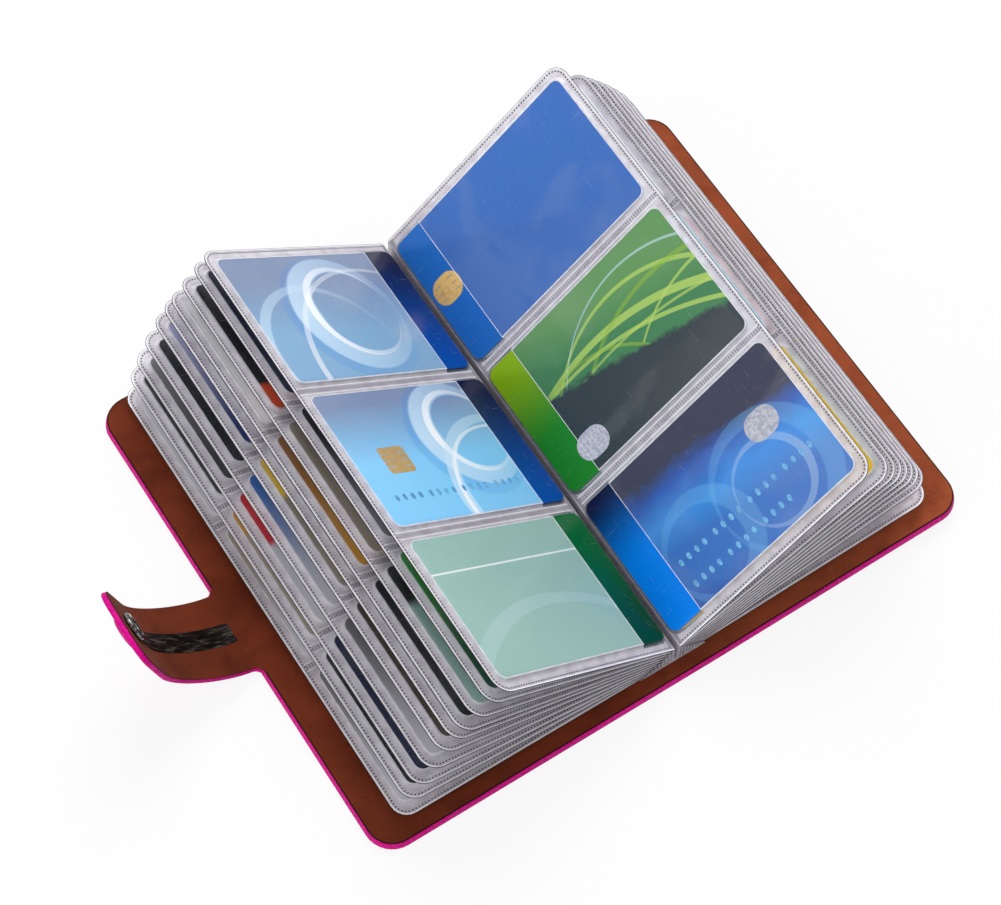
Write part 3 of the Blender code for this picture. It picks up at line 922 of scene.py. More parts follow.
def placed(data: Mesh, materials: Iterable[Material], matrix: Matrix, smooth_deg: float) -> Piece:
    """Put a mesh in the scene as an object whose place is in its points.

    Args:
        data: The mesh, whose name the object takes.
        materials: Its material slots in order.
        matrix: Where the mesh's coordinates lie.
        smooth_deg: Edges turned less than this are shaded smooth.

    Returns:
        The new object.
    """
    data.transform(matrix)
    for material in materials:
        data.materials.append(material)
    data.shade_smooth()
    data.set_sharp_from_angle(angle=math.radians(smooth_deg))
    return linked(data.name, data)


def declare(piece: Piece, slot: str, *nodes: str, body: str | None = None) -> None:
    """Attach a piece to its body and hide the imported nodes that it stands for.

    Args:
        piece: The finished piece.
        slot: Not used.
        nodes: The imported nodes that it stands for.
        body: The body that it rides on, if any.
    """
    if body:
        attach(piece, body)
    if nodes:
        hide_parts(*nodes)


def dress_node(node: str, material: Material) -> None:
    """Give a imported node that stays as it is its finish.

    Args:
        node: The node's name.
        material: Its finish.
    """
    piece = NODES[node]
    piece.data.materials.clear()
    piece.data.materials.append(material)


class Shape:
    """A mesh in the making, in the piece's own coordinates."""

    def __init__(self) -> None:
        """Start empty."""
        self.mesh = bmesh.new()

    def ring(self, points: Iterable[Sequence[float]]) -> list[Corner]:
        """New points of one ring."""
        return [self.mesh.verts.new(point) for point in points]

    def face(self, corners: Sequence[Corner], slot: int = 0) -> None:
        """One face."""
        self.mesh.faces.new(corners).material_index = slot

    def bridge(self, first: list[Corner], second: list[Corner], slots: Sequence[int] = (0,)) -> None:
        """Faces between two closed rings of as many points.

        Args:
            first: The ring to start from.
            second: The ring to end on.
            slots: The faces' material slots in order, repeated round the ring.
        """
        for index, corner in enumerate(first):
            ahead = (index + 1) % len(first)
            self.face((corner, first[ahead], second[ahead], second[index]), slots[index % len(slots)])

    def loft(self, rings: Sequence[Loop], slots: Sequence[int] = ()) -> None:
        """A closed body through rings of points, capped at both ends.

        Args:
            rings: The rings in order, each with as many points.
            slots: Material slots of the bands between rings, and of the last cap.
        """
        made = [self.ring(points) for points in rings]
        used = slots or [0] * len(made)
        for before, after, slot in zip(made, made[1:], used):
            self.bridge(before, after, (slot,))
        self.face(made[0][::-1], used[0])
        self.face(made[-1], used[-1])

    def cut(self, x: float, sign: int = 1, clear: bool = False) -> list[bmesh.types.BMEdge]:
        """Divide the mesh at a plane across X.

        Args:
            x: Where the plane stands.
            sign: Which way it faces.
            clear: Whether what lies behind it goes.

        Returns:
            The edges along the cut.
        """
        geometry = [*self.mesh.verts, *self.mesh.edges, *self.mesh.faces]
        plane = {"plane_co": (x, 0.0, 0.0), "plane_no": (sign, 0.0, 0.0), "dist": TOUCH}
        made = bmesh.ops.bisect_plane(self.mesh, geom=geometry, clear_inner=clear, **plane)
        return [item for item in made["geom_cut"] if isinstance(item, bmesh.types.BMEdge)]

    def data(self, name: str) -> Mesh:
        """Finish as a plain mesh with its faces turned outwards.

        Args:
            name: The mesh's name.

        Returns:
            The mesh.
        """
        bmesh.ops.recalc_face_normals(self.mesh, faces=self.mesh.faces)
        data = bpy.data.meshes.new(name)
        self.mesh.to_mesh(data)
        self.mesh.free()
        return data

    def piece(
        self, name: str, *materials: Material, matrix: Matrix = UNMOVED, smooth_deg: float = 35.0
    ) -> Piece:
        """Finish as an object."""
        return placed(self.data(name), materials, matrix, smooth_deg)


def joined(name: str, parts: Sequence[Mesh], matrix: Matrix) -> Piece:
    """One object of several meshes, with each material in one slot.

    Args:
        name: The new piece's name.
        parts: Meshes in the same coordinates, which are removed.
        matrix: Where those coordinates lie.

    Returns:
        The joined object.
    """
    work = bmesh.new()
    materials: list[Material] = []
    for part in parts:
        first = len(work.faces)
        materials += [material for material in part.materials if material not in materials]
        numbers = [materials.index(material) for material in part.materials]
        work.from_mesh(part)
        work.faces.ensure_lookup_table()
        for face in work.faces[first:]:
            face.material_index = numbers[face.material_index]
        bpy.data.meshes.remove(part)
    data = bpy.data.meshes.new(name)
    work.to_mesh(data)
    work.free()
    return placed(data, materials, matrix, 40.0)


@dataclass
class WeldRows:
    """The heat seal's small marks, set along paths by one geometry tree."""

    height: float = 0.1 * MM
    tree: Tree = field(init=False)

    def __post_init__(self) -> None:
        """Build the tree: marks of a given size stand along a path at a given pitch."""
        self.tree = bpy.data.node_groups.new("weld_marks", "GeometryNodeTree")
        sizes = ("Mark Length", "Mark Width", "Mark Height")
        sorts = {"Path": "Geometry", **dict.fromkeys(("Pitch", *sizes), "Float"), "Material": "Material"}
        for title, sort in sorts.items():
            self.tree.interface.new_socket(name=title, in_out="INPUT", socket_type=f"NodeSocket{sort}")
        self.tree.interface.new_socket(name="Marks", in_out="OUTPUT", socket_type="NodeSocketGeometry")
        graph = Graph(self.tree)
        given = graph.add("NodeGroupInput").outputs
        curve = graph.out("GeometryNodeMeshToCurve", {"Mesh": given["Path"]})
        feeds = {"Curve": curve, "Length": given["Pitch"]}
        spaced = graph.out("GeometryNodeResampleCurve", feeds, mode="LENGTH")
        tangent = graph.out("GeometryNodeInputTangent")
        turn = graph.out("FunctionNodeAlignRotationToVector", {"Vector": tangent}, axis="X", pivot_axis="Z")
        size = graph.out("ShaderNodeCombineXYZ", {index: given[title] for index, title in enumerate(sizes)})
        mark = graph.out("GeometryNodeMeshCylinder", {"Vertices": 8, "Radius": 0.5, "Depth": 1.0})
        feeds = {"Points": spaced, "Instance": mark, "Rotation": turn, "Scale": size}
        stood = graph.out("GeometryNodeInstanceOnPoints", feeds)
        real = graph.out("GeometryNodeRealizeInstances", {0: stood})
        dressed = graph.out("GeometryNodeSetMaterial", {"Geometry": real, "Material": given["Material"]})
        graph.add("NodeGroupOutput", {0: dressed})

    def row(self, paths: Sequence[Loop], pitch: float, size: Point, material: Material) -> Mesh:
        """Marks along open paths.

        Args:
            paths: The paths' points.
            pitch: From one mark to the next.
            size: A mark's length along its path and its width across it.
            material: The marks' finish.

        Returns:
            The marks as a plain mesh in the paths' coordinates.
        """
        points: Loop = []
        edges: list[tuple[int, int]] = []
        for path in paths:
            edges += [(index, index + 1) for index in range(len(points), len(points) + len(path) - 1)]
            points += path
        guide = bpy.data.meshes.new("weld_path")
        guide.from_pydata(points, edges, [])
        helper = linked("weld_path", guide)
        modifier = helper.modifiers.new("marks", "NODES")
        modifier.node_group = self.tree
        values = {"Pitch": pitch, "Mark Length": size[0], "Mark Width": size[1], "Mark Height": self.height}
        values["Material"] = material
        for item in self.tree.interface.items_tree:
            if item.name in values:
                modifier[item.identifier] = values[item.name]
        return settled(helper)


@dataclass
class Covers:
    """Skin and lining of the covers and spine, each half one sheet that bends at its fold.

    The profiles are (inset, height) points in millimetres.
    """

    finishes: Finishes
    corner: float = 10.0 * MM
    fold_half: float = 3.2 * MM
    fold_cuts: int = 9

    SKIN: ClassVar[tuple[Point, ...]] = (
        (1.7, 0.0), (0.9, 0.06), (0.3, 0.32), (0.0, 0.85), (0.08, 1.5), (0.3, 2.5), (0.55, 3.3), (0.68, 3.66),
        (0.86, 3.72), (1.02, 3.6), (1.06, 0.9), (1.06, 0.7),
    )
    LINING: ClassVar[tuple[Point, ...]] = (
        (1.3, 3.32), (1.08, 3.45), (1.08, 3.72), (0.84, 3.76), (0.76, 3.86), (0.84, 3.96), (1.25, 4.0),
    )

    def __post_init__(self) -> None:
        """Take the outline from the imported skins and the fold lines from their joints."""
        low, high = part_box("front_cover_skin")
        self.reach = -low.x
        self.half = high.y
        self.folds = {side: Vector(JOINTS[f"{side.cover}_fold"]["pos_m"]) for side in Side}
        self.tilt = math.radians(90 - JOINTS["back_cover_fold"]["range_deg"][1])

    def outline(self, inset: float, height: float) -> Loop:
        """The open book's whole outline, drawn in by an inset."""
        corner = max(self.corner - inset, 0.5 * MM)
        return flat(block((0.0, 0.0), self.reach - inset, self.half - inset, corner, 8), height)

    def sheet(
        self, side: Side, name: str, profile: Sequence[Point], slots: Sequence[int], *looks: Material
    ) -> Piece:
        """Cut one half out of a whole sheet, divide its fold and bend it to rest.

        Args:
            side: Which half is kept.
            name: The piece's name.
            profile: The sheet's section.
            slots: The section's material slots, if there is more than one.
            looks: The materials.

        Returns:
            The sheet, divided across its fold.
        """
        shape = Shape()
        shape.loft([self.outline(inset * MM, height * MM) for inset, height in profile], slots)
        bmesh.ops.contextual_create(shape.mesh, geom=shape.cut(0.0, side.value, True))
        fold = self.folds[side]
        for index in range(self.fold_cuts + 1):
            shape.cut(fold.x + self.fold_half * (2 * index / self.fold_cuts - 1))
        if side is Side.RIGHT:
            for vertex in shape.mesh.verts:
                share = ease((vertex.co.x - fold.x + self.fold_half) / (2 * self.fold_half))
                vertex.co = fold + Matrix.Rotation(-self.tilt * share, 3, "Y") @ (vertex.co - fold)
        piece = shape.piece(name, *looks)
        side.cover
        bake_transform(piece)
        return piece

    def build(self) -> None:
        """Make every sheet of the covers and finish the boards inside them."""
        looks = self.finishes
        for side, bodies in ((Side.LEFT, ("front_cover", "spine")), (Side.RIGHT, ("back_cover",))):
            skin = self.sheet(side, f"{side.word}_outer_skin", self.SKIN, (), looks.skin)
            declare(skin, "skin", *(f"{body}_skin" for body in bodies))
            # the bands round the lining's rim take the near-black edge of painted shade
            slots = (0, 0, 1, 1, 1, 1, 0)
            name = f"{side.word}_napped_lining"
            lining = self.sheet(side, name, self.LINING, slots, looks.lining, looks.lining_edge)
            declare(lining, "lining", *(f"{body}_lining" for body in bodies))
        for node in ("front_cover_board", "back_cover_board", "spine_board"):
            dress_node(node, looks.board)
        log.info("covers and spine: reach %.1f mm, half height %.1f mm", self.reach / MM, self.half / MM)


@dataclass
class Strap:
    """The snap strap: one soft band that curves up from the front cover's fore edge.

    The profiles are (inset, height) points of one half section, in millimetres from the band's edge
    and from its inner face.
    """

    finishes: Finishes
    width: float = 31.0 * MM
    taper: float = 1.2 * MM
    thickness: float = 2.2 * MM
    corner: float = 8.0 * MM
    fillet: float = 2.0 * MM
    overlap: float = 1.2 * MM
    tip_length: float = 32.0 * MM
    straight_from: float = 10.0 * MM
    root_handle: float = 9.0 * MM
    tip_handle: float = 13.0 * MM
    stations: int = 44
    patch_half: float = 3.9 * MM
    patch_corner: float = 0.9 * MM
    patch_inside: float = 1.4 * MM
    fold_inside: float = 2.0 * MM
    ring_clear: float = 5.0 * MM
    snap_reach: float = 22.5 * MM
    crease: float = 0.07 * MM

    SKIN: ClassVar[tuple[Point, ...]] = (
        (1.0, -2.2), (0.45, -2.1), (0.1, -1.8), (0.0, -1.45), (0.08, -1.1), (0.25, -0.65), (0.42, -0.28),
        (0.7, -0.3), (0.9, -0.8),
    )
    LINING: ClassVar[tuple[Point, ...]] = (
        (1.0, -0.7), (0.72, -0.24), (0.42, -0.22), (0.34, -0.12), (0.46, -0.01), (0.8, 0.02),
    )
    PATCH: ClassVar[tuple[Point, ...]] = (
        (0.0, -0.25), (0.0, 0.168), (0.45, 0.28), (1.5, 0.224), (2.4, 0.392), (3.2, 0.28),
    )
    CREASES: ClassVar[tuple[Point, ...]] = ((1.9, 0.7), (0.8, -1.3))
    CREASE_WAY: ClassVar[Spot] = (0.35, 0.0, 0.6)

    def __post_init__(self) -> None:
        """Read the fold lines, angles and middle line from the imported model."""
        root, tip = JOINTS["strap_root_fold"], JOINTS["strap_tip_fold"]
        self.root = Vector(root["pos_m"])
        self.tip = Vector(tip["pos_m"])
        tip_angle = math.radians(90 - root["range_deg"][1] - tip["range_deg"][0])
        low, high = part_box("strap_root_skin")
        self.middle = (low.y + high.y) / 2
        self.tip_frame = leaf_frame(Side.LEFT, tip_angle, self.tip)
        self.trace()
        self.marks = [self.length * self.spread(index / self.stations) for index in range(self.stations + 1)]

    def along_tip(self, distance: float) -> Vector:
        """A point of the straight tip's inner face."""
        return self.tip_frame @ Vector((distance, 0.0, 0.0))

    def trace(self, steps: int = 200) -> None:
        """Trace the band's inner face from inside the cover's edge to the tip's end.

        Args:
            steps: Points along the curved part.
        """
        edge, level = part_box("front_cover_skin")[0].x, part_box("front_cover_lining")[1].z
        start = Vector((edge + self.overlap, 0.0, level))
        join = self.along_tip(self.straight_from)
        join.y = 0.0
        heading = (join - self.along_tip(0.0)) * Vector((1.0, 0.0, 1.0))
        heading.normalize()
        first = start - Vector((self.root_handle, 0.0, 0.0))
        second = join - heading * self.tip_handle
        self.track: list[Vector] = []
        for step in range(steps + 1):
            t = step / steps
            left = 1 - t
            leaving = start * left**3 + first * (3 * t * left**2)
            self.track.append(leaving + second * (3 * t * t * left) + join * t**3)
        self.track.append(join + heading * (self.tip_length - self.straight_from))
        self.runs = [0.0]
        for before, after in zip(self.track, self.track[1:]):
            self.runs.append(self.runs[-1] + (after - before).length)
        self.length = self.runs[-1]

    def at(self, mark: float) -> tuple[Vector, Vector]:
        """Find a place on the band's inner face.

        Args:
            mark: The distance along the band.

        Returns:
            The point and its upward normal.
        """
        index = 1
        while index < len(self.runs) - 1 and self.runs[index] < mark:
            index += 1
        before, after = self.track[index - 1], self.track[index]
        share = (mark - self.runs[index - 1]) / (self.runs[index] - self.runs[index - 1])
        heading = (after - before).normalized()
        return before.lerp(after, share), Vector((heading.z, 0.0, -heading.x))

    @staticmethod
    def spread(share: float) -> float:
        """Crowd the stations towards both ends, where the outline is curved."""
        return 0.35 * share + 0.65 * (0.5 - 0.5 * math.cos(math.pi * share))

    def rim(self, mark: float, inset: float) -> Point:
        """Where the outline, drawn in by an inset, lies for a station.

        Args:
            mark: The station's distance along the band.
            inset: How far inside the true edge.

        Returns:
            The distance along the band and the half width there.
        """
        half = self.width / 2 - self.taper * mark / self.length
        centre = self.fillet + self.overlap
        root = centre - mark
        if root > 0:
            turn = math.asin(min(root, self.fillet) / self.fillet)
            grown = self.fillet + inset
            half = half + self.fillet - grown * math.cos(turn)
            if root < self.fillet:
                return centre - grown * math.sin(turn), half
            return mark - inset * mark / self.overlap, half
        left = self.corner - (self.length - mark)
        if left > 0:
            turn = math.asin(min(1.0, left / self.corner))
            held = self.corner - inset
            here = self.length - self.corner + held * math.sin(turn)
            return here, half - self.corner + held * math.cos(turn)
        return mark, half - inset

    def profile(self, mark: float, points: Sequence[Point]) -> Loop:
        """One section of the band.

        Args:
            mark: The station's distance along the band.
            points: One half's (inset, height) points in millimetres.

        Returns:
            The section's points, both halves.
        """
        half_loop: list[Spot] = []
        for inset, height in points:
            run, half = self.rim(mark, inset * MM)
            point, normal = self.at(run)
            place = point + normal * (height * MM)
            half_loop.append((place.x, half, place.z))
        near = [(x, self.middle + half, z) for x, half, z in half_loop]
        return near + [(x, self.middle - half, z) for x, half, z in reversed(half_loop)]

    def split(self) -> int:
        """The station in the middle of the root part, where the two stretches meet."""
        target = (self.root + self.tip) / 2 * Vector((1.0, 0.0, 1.0))
        return min(range(len(self.marks)), key=lambda index: (self.at(self.marks[index])[0] - target).length)

    def band(
        self, name: str, marks: Sequence[float], points: Sequence[Point], edge: int, *looks: Material
    ) -> Piece:
        """A lofted stretch of band.

        Args:
            name: The piece's name.
            marks: Its stations.
            points: One half's section.
            edge: How many of the section's outer bands take the edge's finish.
            looks: The finishes of its face and, if there are two, of its edge.

        Returns:
            The band's object.
        """
        count = len(points)
        outer = (*range(edge), *range(2 * count - 1 - edge, 2 * count - 1))
        slots = [int(index in outer) for index in range(2 * count)]
        shape = Shape()
        made = [shape.ring(self.profile(mark, points)) for mark in marks]
        for before, after in zip(made, made[1:]):
            shape.bridge(before, after, slots)
        shape.face(made[0][::-1])
        end = made[-1]
        if marks[-1] < self.length:
            shape.face(end)
        else:
            for index in range(count - 1):
                far = 2 * count - 1 - index
                shape.face((end[index], end[index + 1], end[far - 1], end[far]), slots[index])
        return shape.piece(name, *looks)

    def patch(self, name: str, marks: Sequence[float], root: bool) -> Piece:
        """The creased stiffener that shows along the strap's middle.

        Args:
            name: The piece's name.
            marks: The stations of its stretch.
            root: Whether this is the root's stretch.

        Returns:
            The stiffener's object.
        """
        low = self.overlap + self.patch_inside
        high = self.length - self.tip_length + self.snap_reach - self.ring_clear
        corner = self.patch_corner
        if root:
            inside = [low, low + 0.3 * corner, low + corner]
            inside += [mark for mark in marks if low + corner < mark < high]
        else:
            inside = [mark for mark in marks if low < mark < high] + [high]
        rings = []
        for mark in inside:
            left = max(0.0, corner - (mark - low))
            half = self.patch_half - corner + math.sqrt(max(0.0, corner**2 - left**2))
            point, normal = self.at(mark)
            near = [(half - inset * MM, height * MM) for inset, height in self.PATCH]
            both = near + [(-across, rise) for across, rise in reversed(near)]
            places = [(point + normal * rise, across) for across, rise in both]
            rings.append([(place.x, self.middle + across, place.z) for place, across in places])
        shape = Shape()
        shape.loft(rings)
        for vertex in shape.mesh.verts:
            x, y = vertex.co.x / MM, vertex.co.y / MM
            wave = sum(math.sin(x * along + y * across) for along, across in self.CREASES)
            vertex.co += Vector(self.CREASE_WAY) * (wave * self.crease)
        return shape.piece(name, self.finishes.stiffener)

    def bend(self, piece: Piece, root: bool) -> None:
        """Bake a stretch's place into its points; the span of its root fold or tip fold is worked out but not
        used.

        Args:
            piece: The stretch's piece.
            root: Whether this is the root's stretch.
        """
        if root:
            start, end = self.root + Vector((self.fold_inside, 0.0, 0.0)), self.root.lerp(self.tip, 0.3)
            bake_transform(piece)
            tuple(start)
            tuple(end)
        else:
            start, end = self.tip.lerp(self.root, 0.25), self.along_tip(self.straight_from)
            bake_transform(piece)
            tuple(start)
            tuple(end)

    def build(self) -> None:
        """Make skin, lining and stiffener of the strap in two stretches each."""
        cut = self.split()
        looks = self.finishes
        for part, marks in (("root", self.marks[:cut + 1]), ("tip", self.marks[cut:])):
            root = part == "root"
            outer = self.band(f"strap_{part}_outer", marks, self.SKIN, 0, looks.skin)
            # the lining's outer bands take the near-black edge of painted shade
            inner = self.band(f"strap_{part}_inner", marks, self.LINING, 4, looks.lining, looks.lining_edge)
            patch = self.patch(f"strap_{part}_creased_stiffener", marks, root)
            for piece, slot in ((outer, "skin"), (inner, "lining"), (patch, "stiffener")):
                declare(piece, slot, f"strap_{part}_{slot}")
                self.bend(piece, root)
        log.info("strap: %.1f mm long", self.length / MM)


@dataclass
class Snap:
    """The snap's three turned pieces: domed cap, ring socket and riveted stud.

    The profiles are (radius, height) points in millimetres.
    """

    finishes: Finishes
    strap: Strap
    steps: int = 56
    seat: float = 0.3
    shift: float = 2.0 * MM
    cover: float = 4.0
    stud_reach: float = 2.4

    SOCKET: ClassVar[tuple[Point, ...]] = (
        (1.25, 0.3), (4.95, 0.3), (5.15, 0.42), (5.2, 0.8), (5.1, 1.3), (4.8, 1.75), (4.45, 1.9), (3.6, 1.9),
        (3.1, 1.75), (2.6, 1.4), (2.55, 1.2), (2.8, 0.95), (1.25, 0.85), (1.25, 0.3),
    )
    STUD: ClassVar[tuple[Point, ...]] = (
        (0.0, 0.0), (1.45, 0.0), (1.7, 0.12), (2.05, 0.6), (2.1, 0.8), (1.98, 1.1), (1.7, 1.6), (4.4, 1.6),
        (4.6, 1.75), (4.6, 1.95), (4.4, 2.1), (1.1, 2.1), (1.1, 3.4), (2.6, 3.4), (2.6, 3.9), (0.0, 3.9),
    )

    def turned(self, name: str, profile: Sequence[Point], material: Material, matrix: Matrix) -> Piece:
        """Turn a piece with a Screw modifier.

        Args:
            name: The piece's name.
            profile: Its section.
            material: Its finish.
            matrix: Where it stands.

        Returns:
            The turned piece.
        """
        mesh = bpy.data.meshes.new("snap_profile")
        edges = [(index, index + 1) for index in range(len(profile) - 1)]
        mesh.from_pydata([(radius * MM, 0.0, height * MM) for radius, height in profile], edges, [])
        helper = linked("snap_profile", mesh)
        screw = helper.modifiers.new("turn", "SCREW")
        screw.steps = screw.render_steps = self.steps
        screw.use_merge_vertices = True
        screw.merge_threshold = TOUCH
        shape = Shape()
        shape.mesh.from_mesh(settled(helper))
        bmesh.ops.remove_doubles(shape.mesh, verts=shape.mesh.verts, dist=TOUCH)
        return shape.piece(name, material, matrix=matrix, smooth_deg=50.0)

    def cap(self) -> list[Point]:
        """The domed cap's section, with its rivet up through the strap.

        Returns:
            The section's points.
        """
        rim = -self.strap.thickness / MM - self.seat
        turns = [QUARTER * step / 9 for step in range(10)]
        dome = [(5.7 * math.sin(turn), rim - 0.35 - 0.95 * math.cos(turn)) for turn in turns]
        return dome + [(5.7, rim - 0.1), (5.55, rim), (1.1, rim), (1.1, 1.1), (0.0, 1.1)]

    def build(self) -> None:
        """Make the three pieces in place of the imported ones."""
        looks = self.finishes
        tip = self.strap.tip_frame @ Matrix.Translation((self.strap.snap_reach, self.shift, 0.0))
        back = JOINTS["back_cover_fold"]
        cover = leaf_frame(Side.RIGHT, math.radians(90 - back["range_deg"][1]), back["pos_m"])
        low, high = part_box("snap_stud")
        reach = (cover.inverted() @ ((low + high) / 2)).x
        foot = -(self.cover + self.stud_reach) * MM
        under = cover @ Matrix.Translation((reach, -self.shift, foot))
        for name, profile, material, matrix, body, node, slot in (
            ("snap_domed_cap", self.cap(), looks.cap, tip, "strap_tip", "snap_cap", "cap"),
            ("snap_ring_socket", self.SOCKET, looks.snap, tip, "strap_tip", "snap_socket", "snap"),
            ("snap_riveted_stud", self.STUD, looks.snap, under, "back_cover", "snap_stud", "snap"),
        ):
            declare(self.turned(name, profile, material, matrix), slot, node, body=body)
        log.info("snap: cap, socket and stud")


@dataclass(frozen=True)
class LeafSizes:
    """Sizes that every pocket leaf shares."""

    card_length: float = 85.6 * MM
    card_width: float = 53.98 * MM
    card_corner: float = 3.18 * MM
    card_low: float = 0.17 * MM
    card_top: float = 0.93 * MM
    seam: float = 5.62 * MM
    margin: float = 1.0 * MM
    margin_step: float = 0.442 * MM
    fore_margin: float = 3.4 * MM
    height: float = 182.0 * MM
    corner: float = 6.0 * MM
    rim: float = 0.62 * MM
    dark_rim: float = 0.17 * MM
    wall: float = 1.2 * MM
    mouth: float = 13.0 * MM
    sheet: float = 0.08 * MM
    film: float = 0.09 * MM
    dot_inset: float = 1.3 * MM
    dot_pitch: float = 1.2 * MM
    dot: Point = (0.64 * MM, 0.54 * MM)
    tick_pitch: float = 1.0 * MM
    tick: Point = (0.42 * MM, 1.7 * MM)
    line_offset: float = 1.3 * MM
    line_half: float = 0.11 * MM
    root_half: float = 0.13 * MM

    @property
    def pitch(self) -> float:
        """From one pocket's middle to the next."""
        return self.card_width + self.seam


def plate(outlines: Sequence[Sequence[Point]], low: float, high: float, material: Material) -> Mesh:
    """A flat plate with holes, made by a filled curve.

    Args:
        outlines: The plate's outline and those of its holes.
        low: Its lower face's height.
        high: Its upper face's height.
        material: Its finish.

    Returns:
        The plate as a plain mesh.
    """
    curve = bpy.data.curves.new("plate", "CURVE")
    curve.dimensions = "2D"
    curve.fill_mode = "BOTH"
    curve.extrude = (high - low) / 2
    for outline in outlines:
        spline = curve.splines.new("POLY")
        spline.points.add(len(outline) - 1)
        for point, (u, v) in zip(spline.points, outline):
            point.co = (u, v, 0.0, 1.0)
        spline.use_cyclic_u = True
    shape = Shape()
    shape.mesh.from_mesh(settled(linked("plate", curve)))
    bmesh.ops.translate(shape.mesh, verts=shape.mesh.verts, vec=(0.0, 0.0, (low + high) / 2))
    bmesh.ops.remove_doubles(shape.mesh, verts=shape.mesh.verts, dist=TOUCH)
    mesh = shape.data("plate")
    mesh.materials.append(material)
    return mesh


